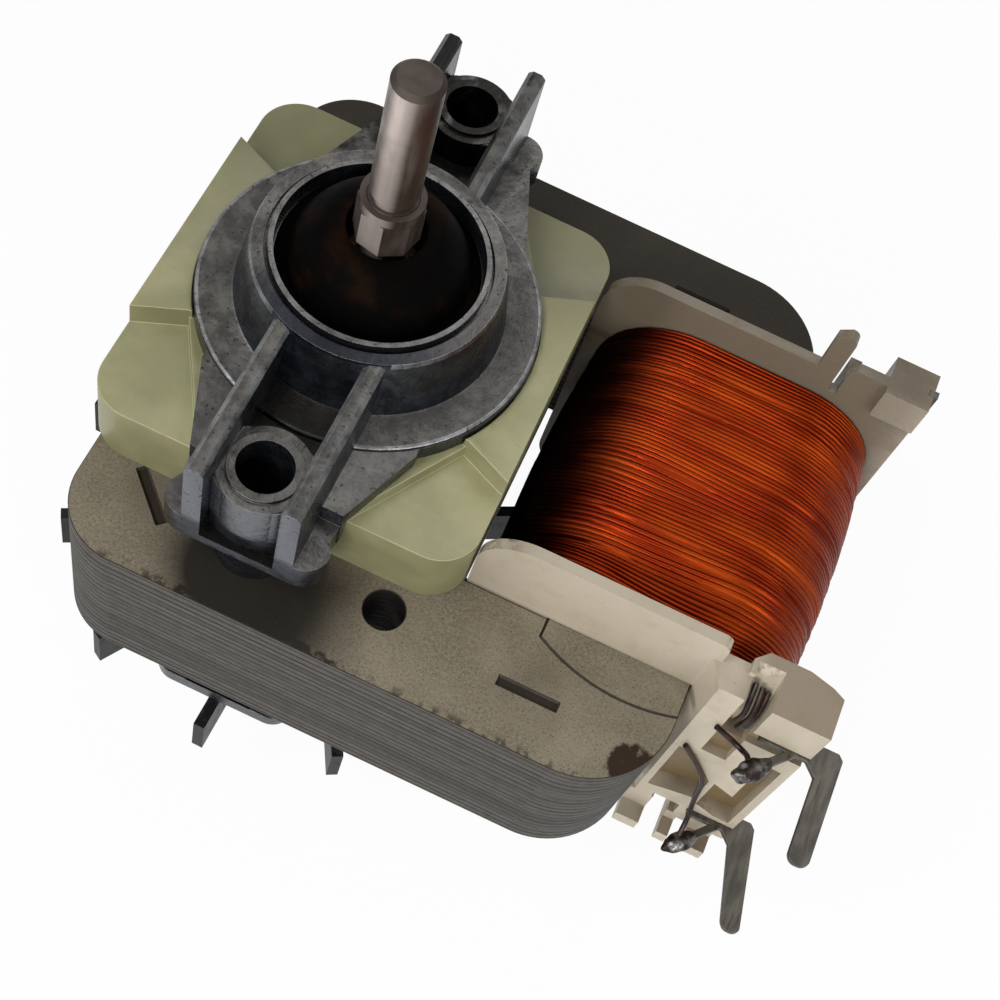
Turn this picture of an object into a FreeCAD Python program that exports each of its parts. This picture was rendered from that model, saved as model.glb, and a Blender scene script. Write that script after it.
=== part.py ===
import FreeCAD, Part

import Sketcher

import math
import os

# Drying fan motor: a shaded-pole motor with a C-shaped lamination stack, a coil on a separate
# core bar, die-cast bearing brackets front and rear, and a cooling fan below the rear bracket.
#
# Frame: the rotor axis is Z, up is the output end, and the origin lies where the axis meets the
# plane of the two mounting boss faces. X points from the rotor to the coil. Millimetres.

SIZES = [
    # alias, value, what it is
    ("stack_drop", 20.0, "boss faces down to the top of the lamination stack"),
    ("stack_height", 26.0, "height of the lamination stack"),
    ("stack_half", 40.0, "half width of the stack along Y"),
    ("stack_left", 23.4, "rotor axis to the left face of the stack"),
    ("stack_right", 56.0, "rotor axis to the right face of the stack"),
    ("left_round", 9.0, "corner radius at the left of the stack"),
    ("right_round", 12.0, "corner radius at the right of the stack"),
    ("window_left", 24.6, "rotor axis to the left side of the coil window"),
    ("window_half", 22.2, "half width of the coil window along Y"),
    ("rotor_bore", 17.25, "radius of the rotor bore in the stack"),
    ("notch_depth", 3.4, "depth of the two notches beside the bore"),
    ("notch_width", 3.0, "width of the notches beside the bore"),
    ("slip", 0.08, "clearance where two pieces are pushed together"),

    ("bar_left", 36.5, "rotor axis to the left side of the coil core bar"),
    ("seat_shallow", 2.6, "depth of the bar seat at its left side"),
    ("seat_deep", 4.7, "depth of the bar seat at its right side"),
    ("seat_round", 24.4, "radius of the curved bottom of the bar seat"),

    ("stack_hole_x", 17.9, "X of the through holes in the stack"),
    ("stack_hole_inset", 9.5, "front face of the stack to its through holes"),
    ("stack_hole_radius", 2.67, "radius of the through holes in the stack"),
    ("shade_circle", 19.3, "radius at which the shading rings pass through the stack"),
    ("shade_wire", 1.3, "radius of a shading ring's wire"),
    ("dimple_length", 8.0, "length of an interlock dimple"),
    ("dimple_width", 1.3, "width of an interlock dimple"),
    ("dimple_depth", 0.6, "depth of an interlock dimple"),
    ("dimple_right_x", 38.0, "X of the right interlock dimples"),
    ("dimple_right_inset", 7.6, "front face of the stack to its right dimples"),
    ("dimple_left_x", 13.9, "X of the left interlock dimples, to the left"),
    ("dimple_left_inset", 10.1, "front face of the stack to its left dimples"),

    ("boss_y", 29.8, "Y of the mounting bosses"),
    ("boss_hole", 3.4, "radius of the mounting holes"),
    ("boss_hole_depth", 14.0, "depth of the mounting holes"),
    ("boss_ring", 4.45, "outer radius of the raised ring on a boss"),
    ("boss_step", 0.5, "height of the raised ring on a boss"),
    ("boss_column", 4.9, "radius of the boss column"),
    ("boss_skirt", 5.6, "radius of the web round a boss"),
    ("skirt_drop", 0.5, "boss face down to the web round it"),

    ("disc_radius", 21.5, "radius of the bracket's disc"),
    ("disc_top", 14.85, "top of the disc above the stack"),
    ("disc_thickness", 2.55, "thickness of the disc"),
    ("cone_foot", 17.0, "radius of the cup wall at the disc"),
    ("ring_radius", 15.8, "outer radius of the cup ring"),
    ("ring_top", 24.3, "top of the cup ring above the stack"),
    ("ring_slope", 1.8, "straight part of the cup ring below its top"),
    ("ring_bevel", 0.5, "bevel at the top of the cup ring"),
    ("lip_radius", 13.35, "outer radius of the inner lip"),
    ("lip_top", 25.0, "top of the inner lip above the stack"),
    ("groove_width", 0.45, "width of the groove outside the lip"),
    ("groove_depth", 0.8, "depth of the groove outside the lip"),
    ("mouth_radius", 12.7, "radius of the cup mouth"),
    ("mouth_depth", 3.0, "depth of the cup mouth below the lip"),
    ("felt_bore", 11.2, "radius of the felt chamber"),
    ("seat_shoulder", 0.9, "floor of the felt chamber below the bearing's centre"),
    ("hub_radius", 9.2, "radius of the bearing hub under the disc"),
    ("hub_bottom", 10.4, "bottom of the bearing hub above the stack"),
    ("hub_opening", 4.5, "radius of the opening under the bearing"),

    ("rib_gap", 4.7, "rotor axis plane to the inner face of an arm rib"),
    ("rib_thickness", 2.4, "thickness of an arm rib"),
    ("rib_top", 24.0, "top of the ribs above the stack"),
    ("rib_start", 13.2, "Y where the ribs leave the cup ring"),
    ("arm_reach", 36.0, "Y of the arm's end face"),
    ("arm_floor", 9.1, "top of the arm's end floor above the stack"),
    ("arm_plate", 1.6, "thickness of the arm's end floor"),
    ("arm_foot_half", 10.4, "half width of the arm at its flared foot"),
    ("arm_bend_half", 9.8, "half width of the arm at its bend"),
    ("arm_waist_half", 9.5, "half width of the arm at its waist"),
    ("arm_waist", 31.0, "Y of the arm's waist"),
    ("ear_round", 3.2, "corner radius of the arm's ears"),
    ("ear_top", 12.0, "top of the ears above the stack"),
    ("rib_bevel", 0.6, "bevel along the top of a rib"),
    ("arm_root_half", 14.0, "half width of the arm where it leaves the disc"),
    ("arm_root", 17.5, "Y where the arm leaves the disc"),

    ("tray_half_x", 25.1, "half width of the front insulator along X"),
    ("rear_tray_half_x", 24.2, "half width of the rear insulator along X"),
    ("tray_half_y", 26.8, "half width of the insulator along Y"),
    ("tray_round", 5.6, "corner radius of the insulator"),
    ("tray_corner", 10.2, "height of the insulator at its corner pockets"),
    ("tray_height", 13.7, "height of the insulator's raised platform"),
    ("tray_wall", 1.6, "wall of the insulator"),
    ("tray_roof", 1.5, "roof thickness of the insulator's corners"),
    ("tray_seat", 0.2, "play round the disc in the insulator"),
    ("pocket_side", 14.8, "Y where a pocket wall meets the side"),
    ("pocket_inner_x", 18.6, "X of the inner corner of a pocket"),
    ("pocket_inner_y", 11.9, "Y of the inner corner of a pocket"),
    ("pocket_front_x", 9.8, "X where a pocket wall meets the front"),
    ("tray_play", 0.3, "clearance between the insulator and what passes it"),

    ("rotor_gap", 0.35, "air gap between rotor and bore"),
    ("cage_ring", 15.5, "outer radius of the cage's end rings"),
    ("cage_inner", 8.2, "inner radius of the cage's end rings"),
    ("cage_height", 3.2, "height of a cage end ring"),
    ("bar_circle", 14.3, "radius of the circle of cage bars"),
    ("bar_width", 1.8, "width and depth of a cage bar"),
    ("bar_count", 17.0, "number of cage bars"),

    ("shaft_radius", 3.0, "radius of the shaft"),
    ("shaft_top", 55.9, "tip of the shaft above the stack"),
    ("shaft_chamfer", 0.6, "chamfer at the shaft tip"),
    ("shaft_neck", 2.55, "radius of the groove at the shaft's base"),
    ("shaft_neck_height", 0.9, "height of the groove at the shaft's base"),
    ("collar_radius", 4.05, "radius of the faceted collar over its corners"),
    ("collar_bottom", 29.3, "bottom of the faceted collar above the stack"),
    ("collar_top", 36.0, "top of the collar above the stack"),
    ("collar_round", 3.85, "radius of the collar's round upper part"),
    ("collar_round_height", 1.3, "height of the collar's round upper part"),
    ("running", 0.03, "radial running clearance of the shaft"),

    ("ball_radius", 7.0, "radius of the bearing's sphere"),
    ("ball_half", 4.8, "half length of the bearing"),
    ("ball_height", 17.3, "centre of the front bearing above the stack"),
    ("ball_play", 0.06, "clearance round the bearing's sphere"),
    ("felt_play", 0.15, "clearance between felt and bearing"),
    ("felt_height", 2.6, "height of the oil felt"),
    ("spring_sheet", 0.5, "thickness of the bearing's spring washer"),
    ("spring_hole", 5.45, "radius of the hole in the spring washer"),
    ("spring_rise", 2.75, "height of the spring washer's cone"),
    ("cap_sheet", 0.6, "thickness of the bearing cap"),
    ("cap_dome_radius", 10.4, "radius of the dome on the bearing cap"),
    ("cap_step", 1.9, "height of the cap's ring above its brim"),
    ("rear_cap_brim", 2.2, "width of the rear cap's brim"),
    ("rear_cap_rise", 1.5, "height of the rear cap's raised middle"),
    ("cap_dome_top", 30.0, "top of the dome above the stack"),
    ("cap_hole", 4.6, "radius of the hole in the dome"),
    ("washer_radius", 4.2, "radius of a thrust washer"),
    ("washer_play", 0.1, "end play between washer and bearing"),
    ("washer_height", 1.2, "height of a thrust washer"),

    ("rear_cup_end", 20.6, "end of the rear cup below the stack"),
    ("rear_cup_radius", 12.4, "outer radius of the rear cup"),
    ("rear_mouth", 10.9, "radius of the rear cup's mouth"),
    ("rear_mouth_depth", 1.4, "depth of the rear cup's mouth"),
    ("rear_felt_bore", 10.0, "radius of the rear felt chamber"),
    ("rear_ball_depth", 14.2, "centre of the rear bearing below the stack"),

    ("screw_radius", 2.0, "radius of a clamp screw"),
    ("screw_play", 0.25, "clearance round a clamp screw"),
    ("screw_bite", 5.2, "length of a clamp screw in its boss"),
    ("screw_spare", 0.3, "tapped hole beyond the end of a clamp screw"),
    ("screw_head", 3.7, "radius of a clamp screw's head"),
    ("screw_head_height", 2.4, "height of a clamp screw's head"),
    ("screw_socket", 1.5, "radius of the recess in a clamp screw's head"),

    ("fan_drop", 19.0, "top of the cooling fan's blades below the stack"),
    ("fan_radius", 39.1, "radius of the cooling fan over its blades"),
    ("blade_count", 12.0, "number of blades"),
    ("blade_height", 8.5, "height of a blade"),
    ("blade_sheet", 1.7, "thickness of a blade"),
    ("blade_root", 13.5, "radius where the blades begin"),
    ("web_radius", 24.0, "radius of the cooling fan's disc"),
    ("web_sheet", 1.6, "thickness of the cooling fan's disc"),
    ("fan_hub", 6.4, "radius of the cooling fan's hub"),
    ("fan_hub_height", 5.6, "height of the cooling fan's hub"),
    ("fan_turn", -1.5, "angle of the first blade from the X axis, in degrees"),
    ("clip_radius", 5.2, "radius of the cooling fan's clip"),
    ("clip_sheet", 0.6, "thickness of the cooling fan's clip"),
    ("shaft_tail", 2.2, "shaft end below the cooling fan"),

    ("flange_left", 25.4, "rotor axis to the left edge of the bobbin's flanges"),
    ("flange_right", 57.2, "X where the tall part of a flange ends"),
    ("flange_rise", 13.4, "height of a flange above and below the stack"),
    ("flange_round", 7.0, "corner radius of a flange at the left"),
    ("flange_corner", 1.2, "corner radius of a flange at the right"),
    ("flange_sheet", 1.5, "thickness of a flange"),
    ("tube_wall", 1.2, "wall of the bobbin's tube"),
    ("tube_play", 0.15, "clearance between core bar and bobbin"),

    ("block_end", 72.3, "X of the front terminal block's right end"),
    ("face_front", 25.4, "Y of the front block's face"),
    ("head_front", 25.8, "Y of the front block's head"),
    ("head_top", 10.2, "top of the front block's head above the stack"),
    ("head_under", 3.1, "underside of the front block's head above the stack"),
    ("lip_under", 7.6, "underside of the head's lip over the winding, above the stack"),
    ("lip_back", 18.6, "Y of the lip's edge over the winding"),
    ("lip_left", 60.6, "X of the lip's left end"),
    ("lip_slope", 4.0, "how far the lip's wire guide slopes down"),
    ("strip_left", 58.0, "X of the left side of the front block"),
    ("strip_top", 9.3, "top of the front block's strip above the stack"),
    ("slot_left", 61.3, "X of the left side of the wire slot"),
    ("slot_right", 64.7, "X of the right side of the wire slot"),
    ("slot_low", 3.3, "bottom of the wire slot below the stack's top"),
    ("wire_floor_low", 8.6, "bottom of the shallow recess under the wire slot, below the stack's top"),
    ("wire_floor_depth", 1.3, "depth of the shallow recess under the wire slot"),
    ("bay_low", 0.8, "bottom of the upper tab's bay below the stack's top"),
    ("bay_depth", 1.0, "depth of the upper tab's bay"),
    ("recess_depth", 2.3, "depth of the two recesses in the front block"),
    ("lead_recess_left", 58.9, "X of the left side of the lead recess"),
    ("lead_recess_right", 65.1, "X of the right side of the lead recess"),
    ("lead_recess_high", 10.6, "top of the lead recess below the stack's top"),
    ("lead_recess_mid", 17.0, "where the lead recess gets its full width, below the stack's top"),
    ("lead_recess_low", 25.6, "bottom of the lead recess below the stack's top"),
    ("hook_left", 65.9, "X of the left side of the hook-shaped recess"),
    ("hook_inner", 68.9, "X of the inner side of the hook-shaped recess"),
    ("hook_right", 71.2, "X of the right side of the hook-shaped recess"),
    ("hook_high", 5.0, "top of the hook-shaped recess below the stack's top"),
    ("hook_step", 16.8, "step of the hook-shaped recess below the stack's top"),
    ("hook_low", 27.0, "bottom of the hook-shaped recess below the stack's top"),
    ("block_low", 7.1, "bottom of the front block below the stack"),
    ("bar_low", 3.8, "bottom of the block's left part below the stack"),
    ("gap_left", 60.5, "X of the left side of the gap in the block's lower edge"),
    ("gap_right", 64.4, "X of the right side of the gap in the block's lower edge"),
    ("gap_high", 2.4, "top of the gap in the block's lower edge below the stack"),
    ("foot_width", 3.4, "width of a foot under the block"),
    ("foot_low", 11.0, "bottom of the feet below the stack"),
    ("foot_height", 2.6, "height of a foot's toe"),
    ("foot_front", 28.0, "Y of the toes of the feet"),
    ("last_foot", 67.4, "X of the left side of the last foot"),

    ("back_gap", 58.4, "X of the left side of the rear block"),
    ("back_notch", 9.4, "bottom of the notch beside the rear block, above the stack"),
    ("back_end", 69.4, "X of the rear block's right end"),
    ("back_top", 15.6, "top of the rear block above the stack"),
    ("back_front", 25.6, "Y of the rear block's outer face"),
    ("back_lip", 19.6, "Y of the rear block's edge over the winding"),
    ("back_lip_under", 9.8, "underside of the rear block's edge over the winding"),
    ("back_head_left", 63.4, "X of the left side of the rear block's head"),
    ("back_low", 6.0, "bottom of the rear block below the stack's top"),
    ("back_wall", 1.6, "wall at the left of the rear block's slot"),
    ("back_wall_top", 11.5, "top of that wall above the stack"),
    ("horn_top", 21.2, "top of the rear flange's horn above the stack"),
    ("horn_width", 2.7, "width of the rear flange's horn"),
    ("strip_sheet", 1.2, "thickness of the rear terminal strip"),
    ("strip_proud", 0.6, "how far the rear terminal strip stands out"),
    ("strip_depth", 1.0, "width of the rear terminal strip along Y"),
    ("strip_low", 7.3, "lower end of the rear terminal strip above the stack"),

    ("coil_left", 27.6, "rotor axis to the left side of the winding"),
    ("coil_right", 67.6, "rotor axis to the right side of the winding"),
    ("coil_rise", 8.3, "winding above and below the stack at the flanges"),
    ("coil_crown", 1.2, "how far the winding swells midway"),
    ("coil_round", 12.5, "corner radius of the winding"),
    ("coil_play", 0.1, "clearance between winding and bobbin"),

    ("tab_left", 73.4, "X of the upper tab leg's left side"),
    ("tab_shift", 1.0, "how far the lower tab's leg sits to the left of the upper one's"),
    ("tab_width", 2.8, "width of a tab leg"),
    ("tab_sheet", 0.8, "thickness of a tab"),
    ("tab_tip", 38.9, "Y of the tab tips"),
    ("tab_shoulder", 23.4, "Y of the tabs' rear edge"),
    ("tab_root", 65.6, "X where a tab's root ends in its block"),
    ("tab_height", 2.2, "underside of the upper tab above the stack"),
    ("tab_point", 0.7, "bevel of the tab tips"),
    ("tab_splay", 2.6, "how far the lower tab leans right at its tip"),
    ("tab_neck", 1.5, "corner between a tab's root and its leg"),
    ("prong_place", 4.2, "tab root to the prong"),
    ("prong_reach", 7.4, "length of the tab's solder prong"),
    ("prong_width", 1.1, "width of the tab's solder prong"),
    ("wire_radius", 0.4, "radius of a coil lead"),
    ("solder_length", 4.4, "length of a solder joint"),
    ("solder_wall", 0.6, "solder round a prong"),
]


class Size:
    """A length with its present value and the sheet formula that it comes from."""

    def __init__(self, value, text):
        self.value = value
        self.text = text

    def __add__(self, other):
        other = as_size(other)
        return Size(self.value + other.value, "(%s + %s)" % (self.text, other.text))

    def __sub__(self, other):
        other = as_size(other)
        return Size(self.value - other.value, "(%s - %s)" % (self.text, other.text))

    def __mul__(self, other):
        other = as_size(other)
        return Size(self.value * other.value, "(%s * %s)" % (self.text, other.text))

    def __truediv__(self, other):
        other = as_size(other)
        return Size(self.value / other.value, "(%s / %s)" % (self.text, other.text))

    def __neg__(self):
        return Size(-self.value, "(0 - %s)" % self.text)

    def root(self):
        return Size(math.sqrt(self.value), "sqrt(%s)" % self.text)

    __radd__ = __add__
    __rmul__ = __mul__

    def __rsub__(self, other):
        return as_size(other) - self


def as_size(number):
    if isinstance(number, Size):
        return number
    return Size(float(number), repr(float(number)))


class Table:
    """The driving sizes, read by name."""

    def __init__(self, sheet):
        for row, (alias, value, note) in enumerate(SIZES, start=1):
            sheet.set("A%d" % row, alias)
            sheet.set("B%d" % row, str(value))
            sheet.set("C%d" % row, note)
            sheet.setAlias("B%d" % row, alias)
            setattr(self, alias, Size(value, "%s.%s" % (sheet.Name, alias)))


doc = FreeCAD.newDocument("drying_fan_motor")
sheet = doc.addObject("Spreadsheet::Sheet", "sizes")
s = Table(sheet)
doc.recompute()
parts = []

# Heights that several pieces share, all measured from the boss faces.
stack_top = -s.stack_drop
stack_bottom = stack_top - s.stack_height
stack_middle = stack_top - s.stack_height / 2
foot_bottom = s.arm_floor - s.arm_plate
arm_bend = s.tray_half_y + s.tray_play + s.arm_plate


# Helpers for bodies, sketches and features

def bind(thing, name, size):
    thing.setExpression(name, as_size(size).text)


def new_body(label):
    body = doc.addObject("PartDesign::Body", label)
    body.Label = label
    parts.append(body)
    return body


def origin_feature(body, role):
    for feature in body.Origin.OriginFeatures:
        if feature.Role == role:
            return feature
    raise ValueError(role)


def new_sketch(body, name, plane, offset=None):
    """A sketch on one of the body's origin planes, moved along the plane's normal."""
    sketch = body.newObject("Sketcher::SketchObject", name)
    sketch.AttachmentSupport = [(origin_feature(body, plane), "")]
    sketch.MapMode = "FlatFace"
    if offset is not None:
        bind(sketch, "AttachmentOffset.Base.z", offset)
    return sketch


def vector(point):
    return FreeCAD.Vector(as_size(point[0]).value, as_size(point[1]).value, 0)


def add_constraint(sketch, size, kind, *where):
    size = as_size(size)
    index = sketch.addConstraint(Sketcher.Constraint(kind, *where, size.value))
    sketch.setExpression("Constraints[%d]" % index, size.text)


def pin_point(sketch, edge, end, point):
    """Ties one end of an edge to the sketch's origin by two distances."""
    add_constraint(sketch, point[0], "DistanceX", -1, 1, edge, end)
    add_constraint(sketch, point[1], "DistanceY", -1, 1, edge, end)


HALF_TURN = 0.001


def outline(sketch, steps):
    """A closed outline. A step is a point, or (point, radius, side) for an arc that ends there.

    side is 1 where the arc bulges to the right of the way it goes, and -1 where to the left.
    A half circle is held by its centre, because its radius says nothing that its ends don't.
    """
    points = [step if len(step) == 2 else step[0] for step in steps]
    count = len(steps)
    for index, step in enumerate(steps):
        start = vector(points[index - 1])
        finish = vector(points[index])
        if len(step) == 2:
            edge = sketch.addGeometry(Part.LineSegment(start, finish), False)
            first, last = 1, 2
        else:
            radius, side = step[1], step[2]
            chord = finish - start
            across = FreeCAD.Vector(-chord.y, chord.x, 0).normalize()
            middle = (start + finish) / 2
            reach = math.sqrt(max(as_size(radius).value ** 2 - (chord.Length / 2) ** 2, 0))
            centre = middle + across * (reach * side)
            circle = Part.Circle(centre, FreeCAD.Vector(0, 0, 1), as_size(radius).value)
            low, high = (start, finish) if side > 0 else (finish, start)
            angles = [math.atan2(p.y - centre.y, p.x - centre.x) for p in (low, high)]
            if angles[1] < angles[0]:
                angles[1] += 2 * math.pi
            edge = sketch.addGeometry(Part.ArcOfCircle(circle, angles[0], angles[1]), False)
            first, last = (1, 2) if side > 0 else (2, 1)
            if reach > as_size(radius).value * HALF_TURN:
                add_constraint(sketch, radius, "Radius", edge)
            else:
                axis, kind = (0, "DistanceX") if abs(chord.y) > abs(chord.x) else (1, "DistanceY")
                halfway = (as_size(points[index - 1][axis]) + points[index][axis]) / 2
                add_constraint(sketch, halfway, kind, -1, 1, edge, 3)
        pin_point(sketch, edge, last, points[index])
        if index == 0:
            opening = (edge, first)
        else:
            sketch.addConstraint(Sketcher.Constraint("Coincident", previous[0], previous[1], edge, first))
        previous = (edge, last)
        if index == count - 1:
            sketch.addConstraint(Sketcher.Constraint("Coincident", previous[0], previous[1], *opening))
    return sketch


def circle(sketch, x, y, radius):
    edge = sketch.addGeometry(
        Part.Circle(vector((x, y)), FreeCAD.Vector(0, 0, 1), as_size(radius).value), False)
    add_constraint(sketch, radius, "Radius", edge)
    if as_size(x).value == 0 and as_size(y).value == 0:
        sketch.addConstraint(Sketcher.Constraint("Coincident", edge, 3, -1, 1))
    else:
        pin_point(sketch, edge, 3, (x, y))
    return sketch


def rectangle(sketch, x0, y0, x1, y1):
    return outline(sketch, [(x1, y0), (x1, y1), (x0, y1), (x0, y0)])


def slanted_bar(sketch, x, y, length, width, slope):
    """A rectangle about a point, its length turned by 45 degrees up (1), down (-1) or not (0)."""
    if slope == 0:
        return rectangle(sketch, x - length / 2, y - width / 2, x + length / 2, y + width / 2)
    along = length / 2 * math.cos(EIGHTH)
    across = width / 2 * math.cos(EIGHTH)
    ends = [
        (x + along + across, y + (along - across) * slope),
        (x + along - across, y + (along + across) * slope),
        (x - along - across, y - (along - across) * slope),
        (x - along + across, y - (along + across) * slope),
    ]
    return outline(sketch, ends)


def volume(body):
    doc.recompute()
    return 0.0 if body.Shape.isNull() else body.Shape.Volume


def pad(body, sketch, length, midplane=False, reverse=False):
    before = volume(body)
    feature = body.newObject("PartDesign::Pad", sketch.Name + "_pad")
    feature.Profile = sketch
    bind(feature, "Length", length)
    feature.Midplane = midplane
    feature.Reversed = reverse
    if volume(body) <= before:
        raise ValueError("%s adds nothing" % feature.Name)
    return feature


def pocket(body, sketch, depth=None, reverse=False):
    """A cut below the sketch, or above it if reversed, or right through where no depth is given."""
    before = volume(body)
    feature = body.newObject("PartDesign::Pocket", sketch.Name + "_cut")
    feature.Profile = sketch
    if depth is None:
        feature.Type = 1
        feature.Midplane = True
    else:
        bind(feature, "Length", depth)
        feature.Reversed = reverse
    if volume(body) >= before:
        raise ValueError("%s cuts nothing" % feature.Name)
    return feature


def turn(body, sketch):
    """Turns a sketch on the XZ plane about the rotor axis."""
    feature = body.newObject("PartDesign::Revolution", sketch.Name + "_turn")
    feature.Profile = sketch
    feature.ReferenceAxis = (sketch, ["V_Axis"])
    feature.Angle = 360
    doc.recompute()
    return feature


def repeat(body, feature, count):
    pattern = body.newObject("PartDesign::PolarPattern", feature.Name + "_round")
    pattern.Originals = [feature]
    pattern.Axis = (origin_feature(body, "Z_Axis"), [""])
    pattern.Angle = 360
    bind(pattern, "Occurrences", count)
    body.Tip = pattern
    doc.recompute()
    return pattern


def soften(body, name, edges, radius, kind="PartDesign::Fillet"):
    """Rounds or bevels the edges of the body's shape that the test picks."""
    doc.recompute()
    base = body.Tip
    picked = ["Edge%d" % (i + 1) for i, edge in enumerate(base.Shape.Edges) if edges(edge)]
    if not picked:
        raise ValueError("%s finds no edge" % name)
    feature = body.newObject(kind, name)
    feature.Base = (base, picked)
    bind(feature, "Radius" if kind.endswith("Fillet") else "Size", radius)
    doc.recompute()
    return feature


SHADE_ANGLES = (-68, -36)
EIGHTH = math.radians(45)


def around(radius, degrees):
    """The point at an angle on a circle about the rotor axis."""
    return radius * math.cos(math.radians(degrees)), radius * math.sin(math.radians(degrees))


# Lamination stack and coil core

def seat_depths(sign, play):
    """Y of the bar seat's ends, shallow then deep, at one side."""
    shallow = (s.window_half + s.seat_shallow - play) * sign
    deep = (s.window_half + s.seat_deep - play) * sign
    return shallow, deep


def make_stator_core():
    body = new_body("stator_core")
    left, right, half = -s.stack_left, s.stack_right, s.stack_half
    low_shallow, low_deep = seat_depths(-1, 0)
    high_shallow, high_deep = seat_depths(1, 0)
    sketch = new_sketch(body, "core_outline", "XY_Plane", stack_bottom)
    outline(sketch, [
        (left, -half + s.left_round),
        ((left + s.left_round, -half), s.left_round, 1),
        (right - s.right_round, -half),
        ((right, -half + s.right_round), s.right_round, 1),
        (right, low_deep),
        ((s.bar_left, low_shallow), s.seat_round, -1),
        (s.bar_left, -s.window_half),
        (s.window_left, -s.window_half),
        (s.window_left, s.window_half),
        (s.bar_left, s.window_half),
        (s.bar_left, high_shallow),
        ((right, high_deep), s.seat_round, -1),
        (right, half - s.right_round),
        ((right - s.right_round, half), s.right_round, 1),
        (left + s.left_round, half),
        ((left, half - s.left_round), s.left_round, 1),
    ])
    pad(body, sketch, s.stack_height)

    bore = new_sketch(body, "core_bore", "XY_Plane", stack_bottom)
    circle(bore, 0, 0, s.rotor_bore)
    pocket(body, bore)

    notches = new_sketch(body, "core_notches", "XY_Plane", stack_bottom)
    reach = s.rotor_bore + s.notch_depth
    inner = s.rotor_bore - s.notch_width
    for sign in (-1, 1):
        rectangle(notches, inner * sign, -s.notch_width / 2, reach * sign, s.notch_width / 2)
    pocket(body, notches)

    holes = new_sketch(body, "core_holes", "XY_Plane", stack_bottom)
    for sign in (-1, 1):
        circle(holes, s.stack_hole_x, (half - s.stack_hole_inset) * sign, s.stack_hole_radius)
        circle(holes, 0, s.boss_y * sign, s.screw_radius + s.screw_play)
    pocket(body, holes)

    slots = new_sketch(body, "shading_slots", "XY_Plane", stack_bottom)
    for sign in (-1, 1):
        for turned in SHADE_ANGLES:
            x, y = around(s.shade_circle, turned)
            circle(slots, x * sign, y * sign, s.shade_wire + s.slip)
    pocket(body, slots)

    dimples = new_sketch(body, "interlock_dimples", "XY_Plane", stack_top)
    for sign in (-1, 1):
        slanted_bar(dimples, s.dimple_right_x, (half - s.dimple_right_inset) * sign,
                    s.dimple_length, s.dimple_width, 0)
        slanted_bar(dimples, -s.dimple_left_x, (half - s.dimple_left_inset) * sign,
                    s.dimple_length, s.dimple_width, sign)
    pocket(body, dimples, s.dimple_depth)


def make_coil_core():
    body = new_body("coil_core")
    left = s.bar_left + s.slip
    low_shallow, low_deep = seat_depths(-1, s.slip)
    high_shallow, high_deep = seat_depths(1, s.slip)
    sketch = new_sketch(body, "bar_outline", "XY_Plane", stack_bottom)
    outline(sketch, [
        (left, low_shallow),
        ((s.stack_right, low_deep), s.seat_round, 1),
        (s.stack_right, high_deep),
        ((left, high_shallow), s.seat_round, 1),
    ])
    pad(body, sketch, s.stack_height)


# Shading rings: closed copper loops round one side of each pole

def make_shading_ring(label, sign):
    body = new_body(label)
    first, last = SHADE_ANGLES
    middle = (first + last) / 2
    half = s.shade_circle * math.sin(math.radians(last - first) / 2)
    depth = s.shade_circle * math.cos(math.radians(last - first) / 2)
    out = around(depth, middle)
    along = (-math.sin(math.radians(middle)), math.cos(math.radians(middle)))

    def place(reach, side):
        """A point of the bar's outline, along the bar and to its side."""
        x = out[0] + reach * along[0] + side * math.cos(math.radians(middle))
        y = out[1] + reach * along[1] + side * math.sin(math.radians(middle))
        return x * sign, y * sign

    wire = s.shade_wire
    ends = [place(half, wire), (place(half, -wire), wire, 1),
            place(-half, -wire), (place(-half, wire), wire, 1)]
    bar = outline(new_sketch(body, label + "_bar", "XY_Plane", stack_top + s.slip), ends)
    pad(body, bar, wire * 2)
    legs = new_sketch(body, label + "_legs", "XY_Plane", stack_bottom - s.slip)
    for turned in SHADE_ANGLES:
        x, y = around(s.shade_circle, turned)
        circle(legs, x * sign, y * sign, wire)
    pad(body, legs, s.stack_height + s.slip * 2)
    foot = outline(new_sketch(body, label + "_foot", "XY_Plane", stack_bottom - s.slip), ends)
    pad(body, foot, wire * 2, reverse=True)


# Insulators: trays that cover the rotor's ends, with a seat for the bracket's disc

def tray_level(side, height):
    """A height above the stack at the front (side 1), or below it at the rear (side -1)."""
    return stack_top + height if side > 0 else stack_bottom - height


def rounded_rectangle(sketch, half_x, half_y, radius):
    return outline(sketch, [
        (-half_x, -half_y + radius),
        ((-half_x + radius, -half_y), radius, 1),
        (half_x - radius, -half_y),
        ((half_x, -half_y + radius), radius, 1),
        (half_x, half_y - radius),
        ((half_x - radius, half_y), radius, 1),
        (-half_x + radius, half_y),
        ((-half_x, half_y - radius), radius, 1),
    ])


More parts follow.
